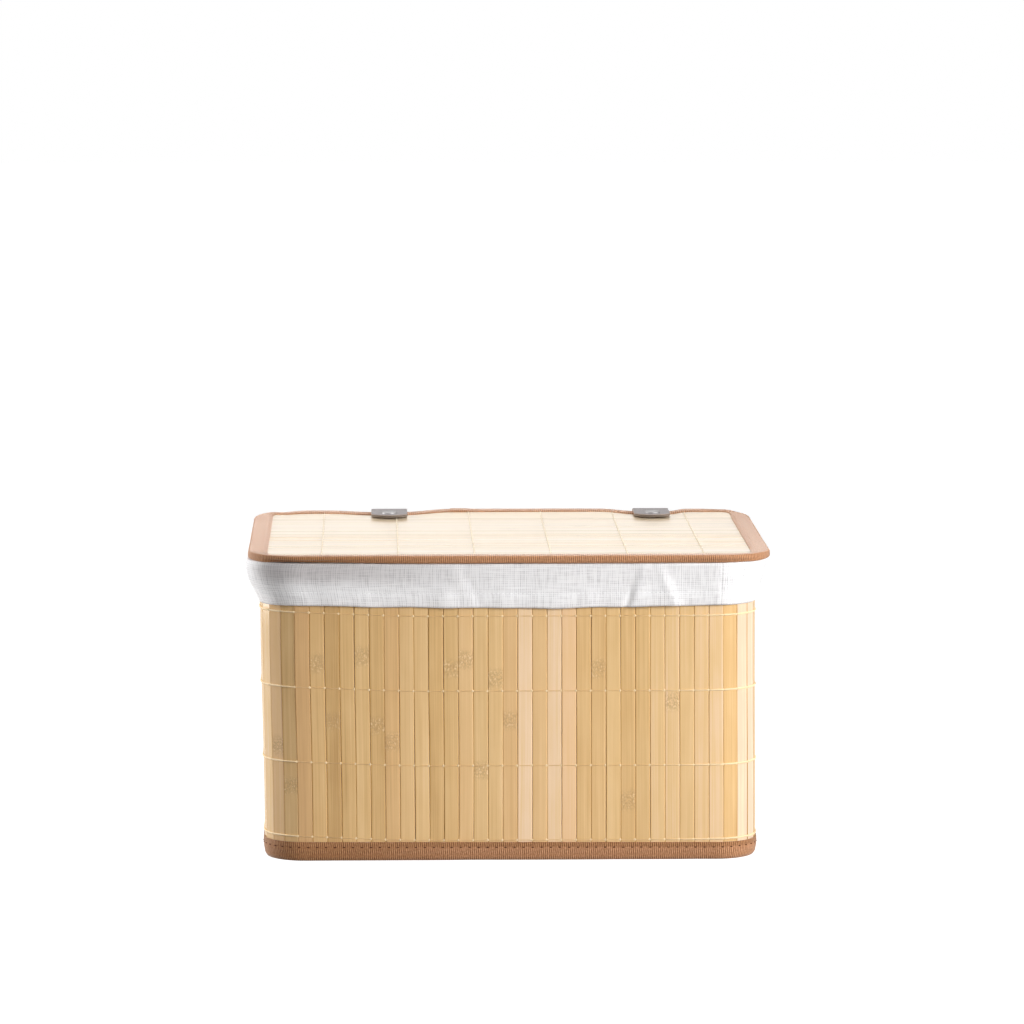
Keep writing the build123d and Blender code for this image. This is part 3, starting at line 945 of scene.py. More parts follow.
def lid_slat_places():
    """Middles and width of the lid's slats, front to rear."""
    depth = lid_slat_high[1] - lid_slat_low[1]
    count = round((depth + MODEL_SLAT_GAP) / SLAT_PITCH)
    pitch = (depth + MODEL_SLAT_GAP) / count
    first = lid_slat_low[1] + (pitch - MODEL_SLAT_GAP) / 2
    return first + pitch * np.arange(count), pitch - LID_SLAT_GAP


def make_lid_slats(material):
    shell = Shell()
    middles, width = lid_slat_places()
    section = slat_section(width, LID_SLAT_EDGE, LID_SLAT_EDGE)
    margin = lid_slat_high[0] - lid_high[0]
    ahead = np.array([1.0, 0.0, 0.0])
    for y in middles:
        reach = lid.half_width_at(abs(y) + width / 2, margin)
        start = np.array([-reach, y, lid_slat_high[2]])
        tone = LID_PAINTED_LIGHT_TONE + drawn_tone(LID_TONE_SPREAD, LID_TONE_LIMIT)
        scarred = rng.uniform() < SCAR_CHANCE / 2
        scar = rng.uniform(LID_SCAR_MARGIN, 2 * reach - LID_SCAR_MARGIN) if scarred else None
        add_slat(shell, start, (0, 1, 0), (0, 0, 1), ahead, section, 2 * reach, tone, scar, warp_lid)
    attach(shell.build("bamboo_lid", material), "lid", "bamboo", "lid_slats")


# Tie threads


def thread_rows(place):
    return sorted(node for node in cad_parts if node.startswith(f"{place}_thread_row"))


def thread_profile(width):
    """Places across a slat and the thread's height there, diving into the gap at each end."""
    half = np.array([0.0, 0.2, 0.36, 0.42, 0.46, 0.5]) * width
    over = np.array([0.6, 0.6, 0.6, 0.1, 0.0, 0.0]) * THREAD_RADIUS
    height = over - np.array([0.0, 0.0, 0.0, 0.0, 0.45, 1.0]) * THREAD_SINK
    return np.concatenate([-half[:0:-1], half]), np.concatenate([height[:0:-1], height])


def thread_painted_highlight(across, width, least):
    """Painted highlight along the thread over a slat: 1 in the knots at its ends."""
    return np.maximum(smoothstep(np.abs(across), 0.34 * width, 0.47 * width), least)


def thread_height(points, level):
    """Put a row at its level: along the front it sags, and rises to the left corner."""
    x, y = points[..., 0], points[..., 1]
    share = -x / wall_high[0]
    sag = THREAD_SAG * (1 - 0.5 * smoothstep(-share, 0.7, 1))
    rise = THREAD_LEFT_RISE * smoothstep(share, 0.3, 1) - sag
    height = level + rise * smoothstep(-y, -0.3 * wall_high[1], 0.7 * wall_high[1])
    return settle(points + height[..., None] * (0, 0, 1))


def wall_thread(slat, face, depth):
    """Thread over one face of a slat, at no height yet: its points, brightness and radii."""
    across, height = thread_profile(slat.width)
    x = slat.middle[0]
    # At the corners the thread swells and takes a painted highlight
    proud = max(smoothstep(x, *BRIGHT_THREAD_RIGHT), smoothstep(-x, *BRIGHT_THREAD_LEFT))
    points = slat.middle + across[:, None] * slat.across + (depth + face * height)[:, None] * slat.out
    radii = np.full(len(across), THREAD_RADIUS * (1 + BRIGHT_THREAD_SWELL * proud))
    return points, thread_painted_highlight(across, slat.width, proud), radii


def make_wall_threads(material):
    for number, node in enumerate(thread_rows("wall"), 1):
        level = middle_of(node)[2]
        shell = Shell()
        for face in THREAD_FACES:
            threads = [wall_thread(slat, *face) for slat in wall_slats]
            points, bright, radii = (np.concatenate(part) for part in zip(*threads))
            path = thread_height(points, level)
            strand(shell, path, radii, (0, 0, 1), path_lengths(path), THREAD_RADIUS, knot=bright[:, None])
        for slat in wall_slats:
            centre = slat.middle + slat.across * (slat.width / 2 - KNOT_INSET) - slat.out * KNOT_SINK
            knot(shell, thread_height(centre, level), (slat.across, slat.out, (0, 0, 1)))
        attach(shell.build(f"tie_thread_{number}", material), "basket", "thread", node)


def make_lid_threads(material):
    middles, width = lid_slat_places()
    across, height = thread_profile(width)
    bright = thread_painted_highlight(across, width, LID_THREAD_SHINE)
    top = lid_slat_high[2]
    for number, node in enumerate(thread_rows("lid"), 1):
        low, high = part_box(node)
        x = (low[0] + high[0]) / 2
        inside = middles[(low[1] < middles) & (middles < high[1])]
        y = (inside[:, None] + across).ravel()
        shine = np.tile(bright, len(inside))[:, None]
        shell = Shell()
        for face, depth in THREAD_FACES:
            path = warp_lid(spread(x, y, np.tile(top + depth + face * height, len(inside))))
            strand(shell, path, THREAD_RADIUS, (1, 0, 0), path_lengths(path), THREAD_RADIUS, knot=shine)
        for middle in inside:
            centre = warp_lid(np.array([x, middle + width / 2, top - KNOT_SINK]))
            knot(shell, centre, ((0, 1, 0), (0, 0, 1), (1, 0, 0)))
        attach(shell.build(f"lid_tie_thread_{number}", material), "lid", "thread", node)


# Webbing tapes


def tape_relief(lengths, around, distance, seams, pull):
    """How far the outer face stands off the middle line: drawn in at stitches, and uneven."""
    dent = sum(hump(lengths, place, STITCH_DENT_WIDTH) for place in seams)
    swell = sum(hump(lengths, place, 4 * STITCH_DENT_WIDTH) for place in seams)
    phase = np.cos(2 * math.pi * distance / STITCH_PITCH)[:, None]
    sink = pull * STITCH_DENT * (0.3 * swell - (0.75 + 0.25 * phase) * dent)
    return TAPE_THICKNESS / 2 + sink + TAPE_WANDER * ripple(around, (5, 9, 14, 23), 3)[:, None]


def tape_painted_shade(outline, distance):
    """Painted shade on the tape along an outline: only towards the left of the front."""
    x, y = outline.walk(distance).T
    front = smoothstep(-y, 0.75 * wall_high[1], 0.95 * wall_high[1])
    return TAPE_LEFT_PAINTED_SHADE * front * smoothstep(-x, *TAPE_PAINTED_SHADE_SPAN)


def tape_ring(outline, path, join, seams, pull, bend_to):
    """Tape folded along an outline from a join, where its ends lap.

    path gives its middle line's margins and heights, seams the places of its stitch lines along that,
    and pull how hard the stitches draw it in.
    """
    lengths = path_lengths(path)
    normal = path_normals(path)
    around = np.linspace(0, 1, round(outline.length / TAPE_STEP))
    travel = around * (outline.length + TAPE_JOIN_LAP)
    distance = join + travel
    lap = smoothstep(travel, outline.length - TAPE_JOIN_LAP / 2, outline.length + TAPE_JOIN_LAP / 4)
    lift = TAPE_JOIN_RISE * lap[:, None]
    outer = path - normal * (tape_relief(lengths, around, distance, seams, pull) + lift)[..., None]
    back = slice(None, None, -3)
    inner = path[back] - normal[back] * (lift - TAPE_THICKNESS / 2)[..., None]
    loop = np.concatenate([outer, inner], axis=1)
    rings = outline.ring(distance[:, None], loop[..., 0], loop[..., 1])
    place = spread(distance[:, None], np.concatenate([lengths, lengths[back]]), 0.0)
    to_edge = np.minimum(lengths, lengths[-1] - lengths)
    strip = pull * (1 - smoothstep(to_edge, STITCH_FROM_EDGE - STITCH_STRIP_FADE, STITCH_FROM_EDGE))
    # The strip value darkens the sewn edge and also carries the painted shade at the left of the front
    dark = np.maximum(np.concatenate([strip, strip[back]]), tape_painted_shade(outline, distance)[:, None])
    return Shell().loft(bend_to(rings), caps=True, tape=place, strip=dark)


def stitch_rows(outline, margin, heights, radius, out, bend_to):
    """Rows of stitches along an outline; out is 1 where they lie on its side and 0 on its top."""
    count = round(outline.length / STITCH_PITCH)
    t = np.linspace(-1, 1, 7)
    girth = radius * np.sqrt(1 - 0.92 * t**2)
    bow = radius * 0.7 * (1 - t**2)
    shell = Shell()
    for height in heights:
        for index in range(count):
            distance = (index + 0.5) * outline.length / count + t * STITCH_LENGTH / 2
            path = bend_to(outline.ring(distance, margin + bow * out, height + bow * (1 - out)))
            strand(shell, path, girth, (0, 0, 1), distance, radius)
    return shell


def wall_tape_margin(high):
    """Margin of the outer leg's middle for a binding with this highest corner."""
    return high[0] - wall_high[0] - TAPE_SLACK - TAPE_THICKNESS / 2


def bind_wall(name, node, path, seam, outer, height, bend_to, material, sewing):
    """Tape on the wall and its stitches, which lie at a height on the outer leg."""
    shell = tape_ring(body, path, body.length / 2, [seam], 1.0, bend_to)
    attach(shell.build(name, material), "basket", "webbing", node)
    margin = outer + TAPE_THICKNESS / 2 - STITCH_REST
    stitches = stitch_rows(body, margin, [height], STITCH_RADIUS, 1, bend_to)
    attach(stitches.build(f"{name}_stitches", sewing), "basket", "webbing")


def make_base_tape(material, sewing):
    """Binding folded up round the wall's lower edge, tucked in a little towards the floor."""
    outer = wall_tape_margin(base_tape_high)
    fold = base_tape_low[2] + TAPE_THICKNESS / 2
    top = base_tape_high[2]
    corners = [
        (BASE_TAPE_INNER, top),
        (BASE_TAPE_INNER, fold),
        (outer - BASE_TAPE_TUCK, fold),
        (outer - 0.4 * BASE_TAPE_TUCK, 0.3 * BASE_TAPE_TUCK_TOP),
        (outer, BASE_TAPE_TUCK_TOP),
        (outer, top),
    ]
    path = fillet_path(corners, BASE_TAPE_BENDS, TAPE_ROW_STEP)
    seam = path_lengths(path)[-1] - STITCH_FROM_EDGE
    height = top - STITCH_FROM_EDGE
    bind_wall("base_tape", "base_binding", path, seam, outer, height, settle_base, material, sewing)


def make_rim_tape(material, sewing):
    """Binding folded down over the wall's upper edge and its wire."""
    outer = wall_tape_margin(rim_tape_high)
    fold = rim_tape_high[2] - TAPE_THICKNESS / 2
    foot = rim_tape_low[2]
    corners = [(outer, foot), (outer, fold), (TAPE_INNER, fold), (TAPE_INNER, foot)]
    path = fillet_path(corners, [TAPE_FOLD_RADIUS] * 2, TAPE_ROW_STEP)
    height = foot + STITCH_FROM_EDGE
    bind_wall("rim_tape", "rim_binding", path, STITCH_FROM_EDGE, outer, height, settle, material, sewing)


def make_lid_tape(material, sewing):
    """Binding folded round the lid's edge, its upper leg pressed down on the slats."""
    low, high = lid_low[2] + TAPE_THICKNESS / 2, lid_high[2] - TAPE_THICKNESS / 2
    edge = -TAPE_THICKNESS / 2
    slope, drop = LID_TAPE_SLOPE
    corners = [(-TAPE_LEG, low), (edge, low), (edge, high)]
    corners += [(slope - TAPE_LEG, high), (-TAPE_LEG, high - drop)]
    path = fillet_path(corners, LID_TAPE_BENDS, TAPE_ROW_STEP)
    seams = [STITCH_FROM_EDGE, path_lengths(path)[-1] - STITCH_FROM_EDGE]
    shell = tape_ring(lid, path, lid.length / 2 - LID_TAPE_JOIN_X, seams, LID_STITCH_PULL, bend_lid_tape)
    attach(shell.build("lid_tape", material), "lid", "webbing", "lid_binding")
    heights = (lid_high[2] - STITCH_REST, lid_low[2] + STITCH_REST)
    stitches = stitch_rows(lid, STITCH_FROM_EDGE - TAPE_LEG, heights, LID_STITCH_RADIUS, 0, bend_lid_tape)
    attach(stitches.build("lid_tape_stitches", sewing), "lid", "webbing")


# Liner


def fold_shape(x, down):
    """Pinched fold that opens from its apex at the rim towards the hem."""
    left = FOLD_APEX_X + (FOLD_LEFT_X - FOLD_APEX_X) * down
    right = FOLD_APEX_X + (FOLD_RIGHT_X - FOLD_APEX_X) * down
    middle = left + np.maximum((right - left) / 2, LEAST_DIVISOR)
    rise = smoothstep(x, left - FOLD_LEFT_RAMP, left) * (1 - 0.6 * smoothstep(x, left, middle))
    rise += hump(x, right, FOLD_RIDGE_WIDTH) * 0.5 * smoothstep(x, middle, right)
    rise *= 1 - smoothstep(x, right, right + FOLD_RIGHT_RAMP)
    tuck = -0.8 * hump(x, left - FOLD_RIDGE_WIDTH, FOLD_TUCK_WIDTH) * smoothstep(down, 0.62, 0.95)
    return FOLD_HEIGHT * (rise + tuck) * smoothstep(down, 0.02, 0.75)


def crease_shape(x, down):
    """Slanting crease at the left of the middle: a ridge with a hollow beside it."""
    line = CREASE_TOP_X + (CREASE_HEM_X - CREASE_TOP_X) * down
    return CREASE_HEIGHT * (hump(x, line, CREASE_WIDTH) - 0.8 * hump(x, line + HOLLOW_X, HOLLOW_WIDTH))


def cuff_shape(x, on_front, down, turns):
    """How far the cuff stands out of its plain form; down is 0 at the rim and 1 at the hem."""
    slack = CUFF_SLACK * ripple(turns, (9, 13, 17, 22, 31), 11) * smoothstep(down, 0.1, 1.0)
    slack = slack + CUFF_FINE_SLACK * ripple(turns, (38, 47, 59), 12) * smoothstep(down, 0.4, 1.0)
    bulge = CUFF_BULGE * np.sin(math.pi * down) ** 0.8
    flare = HEM_FLARE * smoothstep(down, 0.55, 1.0) * (1 - smoothstep(np.abs(x), *HEM_FLARE_FADE))
    return slack + bulge + np.where(on_front, fold_shape(x, down) + crease_shape(x, down) + flare, 0)


def cuff_show_through_and_painted_shade(x, down):
    """How far the cuff is greyed: the wall showing through it, with painted shade that makes it most at the
    left; not through the double hem.
    """
    single = (1 - smoothstep(x, *THIN_CUFF_END)) * (1 - smoothstep(down, 0.42, 0.72))
    return (0.1 + 0.9 * plateau(-x, *PAINTED_CUFF_SHADE_SPAN)) * single * (down > 0)


def hem_relief(lengths):
    """Step of the double cloth at the hem, with a dent along its stitches."""
    edge = lengths[-1] - HEM_DEPTH
    step = smoothstep(lengths, edge - HEM_RISE_WIDTH, edge + HEM_RISE_WIDTH)
    return HEM_RISE * step - HEM_DENT * hump(lengths, edge, HEM_DENT_WIDTH)


def hem_lift(x, y):
    """Height of the hem over its plain line: along the front it sags in the middle."""
    bow = ((np.clip(x, -HEM_SAG_LIMIT, HEM_SAG_LIMIT) - HEM_SAG_X) / HEM_SAG_REACH) ** 2 - 1
    return HEM_SAG * bow * smoothstep(-y, 0.0, wall_high[1] * 0.8)


def seam_travel():
    """Distances from the liner's seam round the rim, close together at the seam."""
    close = np.array(SEAM_STEPS)
    wide = np.linspace(close[-1], body.length - close[-1], round(body.length / LINER_STEP))[1:-1]
    return np.concatenate([[0], close, wide, body.length - close[::-1]])


def liner_path():
    """Liner's margins and heights: up the inside, over the rim and down the cuff."""
    half = LINER_THICKNESS / 2
    inside = liner_floor_high[0] - wall_high[0] + half
    shoulder = liner_high[0] - wall_high[0] - half
    top = liner_high[2] - half
    hem = (HEM_CLEARANCE + half, rim_tape_high[2] - CUFF_DROP)
    corners = [(inside, liner_low[2]), (inside, top), (shoulder, top), hem]
    path = fillet_path(corners, [CUFF_ROLL, CUFF_ROLL], CUFF_ROW_STEP)
    upper = path[path[:, 1] > liner_low[2] + LINER_PLAIN_HEIGHT]
    return np.concatenate([np.linspace(path[0], upper[0], LINER_PLAIN_ROWS)[:-1], upper])


def liner_rings(path, down, travel):
    """Points of the liner: a line up the inside and down the cuff at each distance."""
    lengths = path_lengths(path)
    distance = SEAM_X + travel
    turns = (distance % body.length / body.length)[:, None]
    x, y = body.walk(distance).T[..., None]
    on_front = (y < 0) & (np.abs(x) < wall_high[0] - BODY_CORNER_RADIUS * 0.3)
    groove = SEAM_GROOVE * hump(np.minimum(travel, body.length - travel)[:, None], 0, SEAM_WIDTH)
    stand = (cuff_shape(x, on_front, down, turns) - groove) * (down > 0) + hem_relief(lengths)
    sag = LINER_SAG * np.sin(math.pi * np.clip(lengths / LINER_SAG_SPAN, 0, 1)) * (down == 0)
    sag = sag * ripple(turns, (2, 3, 5, 7), 21)
    margin = path[:, 0] + stand + sag - abs(sag) * 0.5
    lift = hem_lift(x, y) + HEM_WANDER * ripple(turns, (6, 11, 19, 27), 22)
    rings = body.ring(distance[:, None], margin, path[:, 1] + lift * down**2)
    belly = smoothstep(down, 0.0, 0.4) * (1 - 0.65 * smoothstep(down, 0.55, 1.0))
    rings[..., 0] -= CUFF_LEFT_BULGE * np.clip(-x / wall_high[0], 0, 1) * belly
    at_rim = smoothstep(path[:, 1], *(liner_high[2] - depth for depth in CUFF_RIM_DEPTHS))
    front_left = smoothstep(-y, 0.8 * wall_high[1], wall_high[1]) * smoothstep(-x, *CUFF_LEFT_RISE_SPAN)
    rings[..., 2] += CUFF_LEFT_RISE * at_rim * front_left
    return rings


def make_liner(material, sewing):
    path = liner_path()
    lengths = path_lengths(path)
    over = lengths[np.argmax(path[:, 1])]
    down = np.clip((lengths - over) / (lengths[-1] - over), 0, 1)
    travel = seam_travel()
    rings = liner_rings(path, down, travel)
    x = body.walk(SEAM_X + travel)[:, :1]
    place = spread((SEAM_X + travel)[:, None], lengths, 0.0)
    shell = Shell().loft(rings, wrap=False, loop=True, cloth=place, single=cuff_show_through_and_painted_shade(x, down))
    piece = shell.build("liner_bag", material)
    solidify(piece, LINER_THICKNESS)
    hem_row = np.argmin(np.abs(lengths - (lengths[-1] - HEM_DEPTH)))
    sewn = hem_stitches(rings[:, hem_row]).build("liner_hem_stitches", sewing)
    attach(sewn, "basket", "liner_cotton")
    attach(piece, "basket", "liner_cotton", "liner_walls")


def hem_stitches(line):
    """Short stitches just outside a closed line of cloth."""
    lengths = path_lengths(line)
    outward = unit(np.cross(np.gradient(line, axis=0), (0, 0, 1)))
    t = np.linspace(-1, 1, 5)
    lift = LINER_THICKNESS / 2 + HEM_STITCH_RADIUS * (0.9 - t**2)
    shell = Shell()
    for middle in np.arange(HEM_STITCH_PITCH, lengths[-1] - HEM_STITCH_PITCH, HEM_STITCH_PITCH):
        places = middle + t * HEM_STITCH_LENGTH / 2
        spots = spread(*[np.interp(places, lengths, column) for column in (*line.T, *outward.T)])
        path = spots[:, :3] + spots[:, 3:] * lift[:, None]
        strand(shell, path, HEM_STITCH_RADIUS, (0, 0, 1), places, HEM_STITCH_RADIUS)
    return shell


def solidify(piece, thickness):
    """Give a single sheet its thickness, half to each side."""
    modifier = piece.modifiers.new("thickness", "SOLIDIFY")
    modifier.thickness = thickness
    modifier.offset = 0.0


# Cloth panels and the lid's board


def cloth_panel(name, outline, margin, height, pucker, upstand, material):
    """Flat cloth that fills an outline, with an upstand round it where that isn't 0."""
    distance = np.linspace(0, outline.length, PANEL_SIDES, endpoint=False)
    edge = outline.ring(distance, margin, height)
    wave = pucker * ripple(distance / outline.length, (7, 12, 19, 26), 5)
    rings = [edge + (0, 0, rise) for rise in np.linspace(upstand, upstand / 4, 4)] if upstand else []
    for share in np.concatenate([np.linspace(1, 0.9, 6), np.linspace(0.85, 0.05, 17)]):
        ring = edge * (share, share, 1)
        ring[:, 2] += wave * (1 - share) * share * 4
        rings.append(ring)
    rings = np.array(rings)
    shell = Shell().loft(rings, cloth=rings * (1, 1, 0))
    shell.faces.append((shell.count - PANEL_SIDES + np.arange(PANEL_SIDES)).tolist())
    return shell.build(name, material)


def lay_panel(piece, thickness, rides_on, slot, node):
    """Give a panel its thickness and its body, and let it stand for a CAD node."""
    solidify(piece, thickness)
    attach(piece, rides_on, slot, node)


def make_liner_floor(material):
    margin = liner_floor_high[0] - wall_high[0]
    low, high = liner_floor_low[2], liner_floor_high[2]
    piece = cloth_panel("liner_floor_cloth", body, margin, (low + high) / 2, FLOOR_PUCKER, 0, material)
    lay_panel(piece, high - low, "basket", "liner_cotton", "liner_floor")


def make_base_cloth(material):
    low, high = span("base_cloth")
    half = BASE_CLOTH_THICKNESS / 2
    margin = high[0] - wall_high[0] - half
    upstand = high[2] - low[2] - half
    piece = cloth_panel("base_cloth_panel", body, margin, low[2] + half, BASE_PUCKER, upstand, material)
    lay_panel(piece, 2 * half, "basket", "backing_cloth", "base_cloth")


def make_lid_lining(material):
    low, high = (corner[2] for corner in span("lid_lining"))
    level = (low + high) / 2
    piece = cloth_panel("lid_lining_cloth", lid, LID_FILL_MARGIN, level, LINING_PUCKER, 0, material)
    lay_panel(piece, high - low, "lid", "backing_cloth", "lid_lining")


def make_lid_board(material):
    distance = np.linspace(0, lid.length, PANEL_SIDES, endpoint=False)
    rings = [lid.ring(distance, LID_FILL_MARGIN, corner[2]) for corner in span("lid_board")]
    shell = Shell().loft(np.array(rings), caps=True)
    attach(shell.build("lid_fibreboard", material), "lid", "board", "lid_board")


# Hinge straps


def strap_section():
    """Loop round a strap's section: across it and above its middle."""
    half, thick = STRAP_WIDTH / 2, STRAP_THICKNESS / 2
    angles = np.linspace(-math.pi / 2, math.pi / 2, 7)
    side = spread(half - STRAP_EDGE + STRAP_EDGE * np.cos(angles), thick * np.sin(angles))
    top = spread(np.linspace(half - STRAP_EDGE, STRAP_EDGE - half, 9)[1:-1], thick)
    return np.concatenate([side, top, side[::-1] * (-1, 1), top[::-1] * (1, -1)])


def strap_route():
    """Middle line of a strap, as y and z, from its tip on the lid to its end on the rear wall."""
    low, high = span(STRAP_NODES[0])
    half = STRAP_THICKNESS / 2
    top = high[2] - half
    back = high[1] - half
    wall = span("wall_rivets")[1][1] - RIVET_CAP - half
    turn = lid_low[2] - STRAP_TURN
    corners = [(low[1], top), (back, top), (back, turn), (wall, STRAP_LANDING), (wall, low[2])]
    return fillet_path(corners, STRAP_BENDS, STRAP_STEP)


def strap_rows(length):
    """Distances along a strap, close together at its tips, and how near each is to a tip, from 0 to 1."""
    tip = np.array(STRAP_TIP_STEPS)
    between = np.arange(2 * tip[-1], length - 2 * tip[-1], STRAP_STEP)
    rows = np.concatenate([tip, between, length - tip[::-1]])
    return rows, np.clip(1 - np.minimum(rows, length - rows) / tip[-1], 0, 1)


def strap_tips(rows, length, u):
    """Distances along a strap at places across it: its rounded tips draw in towards their sides."""
    radius = ((STRAP_WIDTH / 2) ** 2 + STRAP_TIP_CROWN**2) / (2 * STRAP_TIP_CROWN)
    crown = radius - np.sqrt(radius**2 - u**2)
    start = np.clip(1 - rows / STRAP_TIP_EASE, 0, 1)[:, None]
    stop = np.clip(1 - (length - rows) / STRAP_TIP_EASE, 0, 1)[:, None]
    return rows[:, None] + (start - stop) * crown


def make_straps(material):
    route = strap_route()
    lengths = path_lengths(route)
    normal = -path_normals(route)
    u, n = strap_section().T
    rows, near_tip = strap_rows(lengths[-1])
    along = strap_tips(rows, lengths[-1], u)
    y, z, ny, nz = (np.interp(along, lengths, column) for column in (*route.T, *normal.T))
    height = n * np.sqrt(1 - 0.9 * near_tip**2)[:, None]
    raw_side = smoothstep(np.abs(u), STRAP_WIDTH / 2 - STRAP_RAW_EDGE, STRAP_WIDTH / 2)
    edge = np.maximum(raw_side, smoothstep(near_tip, 0.2, 0.9)[:, None])
    for node in STRAP_NODES:
        rings = spread(middle_of(node)[0] + u, y + ny * height, z + nz * height)
        shell = Shell().loft(rings, caps=True, strap=spread(u, along, n), edge=edge)
        piece = shell.build(node.replace("hinge_strap", "strap_of_leatherette"), material)
        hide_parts(node)
        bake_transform(piece)


# Rivets


def rivet_profile(length):
    """Radii and heights of a domed cap, a shank and a flat tail, from the top down."""
    seat = length - RIVET_CAP
    tail_radius, tail = RIVET_TAIL
    profile = [(RIVET_RADIUS * share, length - 0.2 * RIVET_CAP * share**2) for share in (0.01, 0.3, 0.6, 0.8)]
    for angle in np.linspace(0, math.pi / 2, 6):
        radius = RIVET_RADIUS - RIVET_CAP / 2 * (1 - math.sin(angle))
        profile.append((radius, length - RIVET_CAP / 2 * (1.4 - math.cos(angle))))
    profile += [(RIVET_RADIUS, seat), (RIVET_SHANK, seat), (RIVET_SHANK, tail)]
    profile += [(tail_radius, tail), (tail_radius, 0)]
    return profile


def make_rivets(material, node, axis, rides_on):
    """Rivets turned about an axis, one in the middle of each strap."""
    low, high = (np.array(corner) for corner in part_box(node))
    axis = np.array(axis, float)
    side = np.array([1.0, 0.0, 0.0])
    spokes = circle(side, np.cross(axis, side), RIVET_SIDES)
    profile = rivet_profile(float(axis @ (high - low)))
    foot = np.where(axis > 0, low, (low + high) / 2)
    shell = Shell()
    for strap in STRAP_NODES:
        foot[0] = middle_of(strap)[0]
        rings = [foot + axis * height + spokes * radius for radius, height in profile]
        shell.loft(np.array(rings), caps=True)
    attach(shell.build(f"turned_{node}", material, sharp=35), rides_on, "rivet_steel", node)


def dress(material, *nodes):
    """Give CAD pieces that stay their finish."""
    for node in nodes:
        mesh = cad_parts[node].data
        mesh.materials.clear()
        mesh.materials.append(material)


# Camera, floor and light


def aim(thing, place, direction):
    thing.location = place
    thing.rotation_euler = direction.to_track_quat("-Z", "Y").to_euler()


def make_camera():
    data = bpy.data.cameras.new("camera")
    data.lens = CAMERA_LENS
    data.sensor_width = CAMERA_SENSOR
    camera = place_object("camera", data)
    level = math.cos(CAMERA_PITCH)
    ahead = Vector((math.sin(CAMERA_YAW) * level, math.cos(CAMERA_YAW) * level, -math.sin(CAMERA_PITCH)))
    aim(camera, CAMERA_PLACE, ahead)
    bpy.context.scene.camera = camera


def seen_directly(nodes):
    """1 for rays from the camera, a reflection or a refraction, and 0 for the rest."""
    rays = nodes.node("LightPath").outputs
    bounced = nodes.math("MAXIMUM", rays["Is Glossy Ray"], rays["Is Transmission Ray"])
    return nodes.math("MAXIMUM", rays["Is Camera Ray"], bounced)


def make_world(ambient):
    """White surroundings that light the object only at an ambient level."""
    world = bpy.data.worlds.new("white_room")
    bpy.context.scene.world = world
    world.use_nodes = True
    nodes = Nodes(world.node_tree)
    background = nodes.tree.nodes["Background"].inputs
    background["Color"].default_value = (1, 1, 1, 1)
    nodes.feed(background["Strength"], nodes.span(seen_directly(nodes), 0, 1, ambient, 1))


def make_floor(albedo, glow):
    """Pale floor that reads as white and still takes the shadow."""
    finish = Finish("floor", roughness=1.0, specular_ior_level=0.0, emission_color=(1, 1, 1, 1))
    finish.colour((albedo, albedo, albedo, 1))
    shine = finish.math("MULTIPLY", seen_directly(finish), glow)
    finish.feed(finish.shader.inputs["Emission Strength"], shine)
    mesh = bpy.data.meshes.new("floor")
    corners = np.array([(-1, -1, 0), (1, -1, 0), (1, 1, 0), (-1, 1, 0)]) * FLOOR_REACH
    mesh.from_pydata(corners.tolist(), [], [(0, 1, 2, 3)])
    mesh.materials.append(finish.material)
    place_object("floor", mesh)


def make_lamp(name, place, target, size, power, spread_angle=math.pi):
    data = bpy.data.lights.new(name, "AREA")
    data.shape = "SQUARE"
    data.size = size
    data.energy = power
    data.spread = spread_angle
    aim(place_object(name, data), place, Vector(target) - Vector(place))


make_camera()
# The lid's bamboo is a lit copy of the wall's, made paler with painted light
bamboo = bamboo_finish("bamboo", lacquer=0.6, painted_top_light=0.0, dark_sides_and_painted_shade=0.9)
lid_bamboo_painted_light = bamboo_finish("lid_bamboo_painted_light", lacquer=1.0, painted_top_light=0.45, dark_sides_and_painted_shade=0.1)
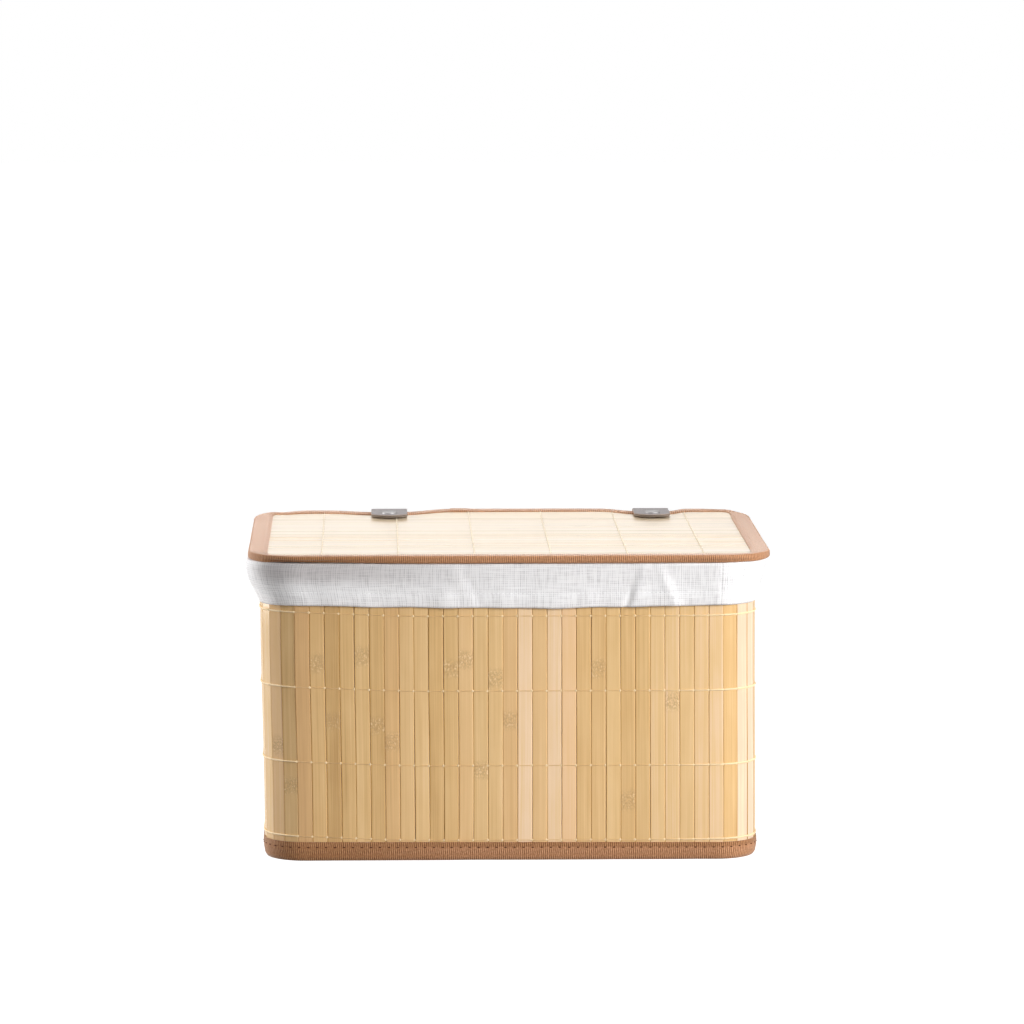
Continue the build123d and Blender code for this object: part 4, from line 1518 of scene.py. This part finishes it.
# Thread colours: the bright end of each is its painted highlight, paler on the lid to go with the lid's painted
# light
thread = thread_finish("thread", (0.98, 0.76, 0.46))
lid_thread = thread_finish("lid_thread", (0.9, 0.81, 0.65))
webbing = tape_finish()
dark_sewing = stitch_finish("dark_sewing", (0.06, 0.018, 0.008), (0.12, 0.04, 0.018))
brown_sewing = stitch_finish("brown_sewing", (0.36, 0.17, 0.08), (0.48, 0.24, 0.12))
cotton = cloth_finish("liner_cotton", (0.945, 0.935, 0.94), (0.62, 0.605, 0.615), slub=0.4)
backing = cloth_finish("backing_cloth", (0.76, 0.73, 0.68), (0.58, 0.55, 0.50), slub=0.2)
white_sewing = cloth_finish("white_sewing", (0.9, 0.9, 0.9), (0.8, 0.8, 0.8), slub=0.1)
rivet_metal = metal_finish("rivet_steel", (0.36, 0.35, 0.35), (300, 300, 300), 0.48, 0.58)
wire_metal = metal_finish("wire_steel", (0.58, 0.58, 0.58), (40, 40, 900), 0.3, 0.45)
board = board_finish()

make_wall_slats(bamboo)
make_wall_threads(thread)
make_base_tape(webbing, dark_sewing)
make_rim_tape(webbing, dark_sewing)
make_liner(cotton, white_sewing)
make_liner_floor(cotton)
make_base_cloth(backing)
make_lid_lining(backing)
make_lid_slats(lid_bamboo_painted_light)
make_lid_threads(lid_thread)
make_lid_tape(webbing, brown_sewing)
make_straps(strap_finish())
make_rivets(rivet_metal, "lid_rivets", (0, 0, 1), "lid")
make_rivets(rivet_metal, "wall_rivets", (0, 1, 0), "basket")
make_lid_board(board)
dress(rivet_metal, "lid_rivet_washers", "wall_rivet_washers")
dress(wire_metal, "rim_wire")
dress(board, "base_board")

bpy.context.scene.view_settings.view_transform = "Standard"
make_world(ambient=0.32)
make_floor(albedo=0.35, glow=0.9)
make_lamp("key", (1.2, -1.0, 0.55), (0.06, -0.15, 0.12), 0.7, 2.9, math.radians(50))
make_lamp("side", (-1.1, 0.25, 0.4), (-0.1, 0, 0.12), 0.7, 11)
make_lamp("top", (0.0, 0.15, 1.3), (0, 0.05, 0.2), 0.9, 6.4)
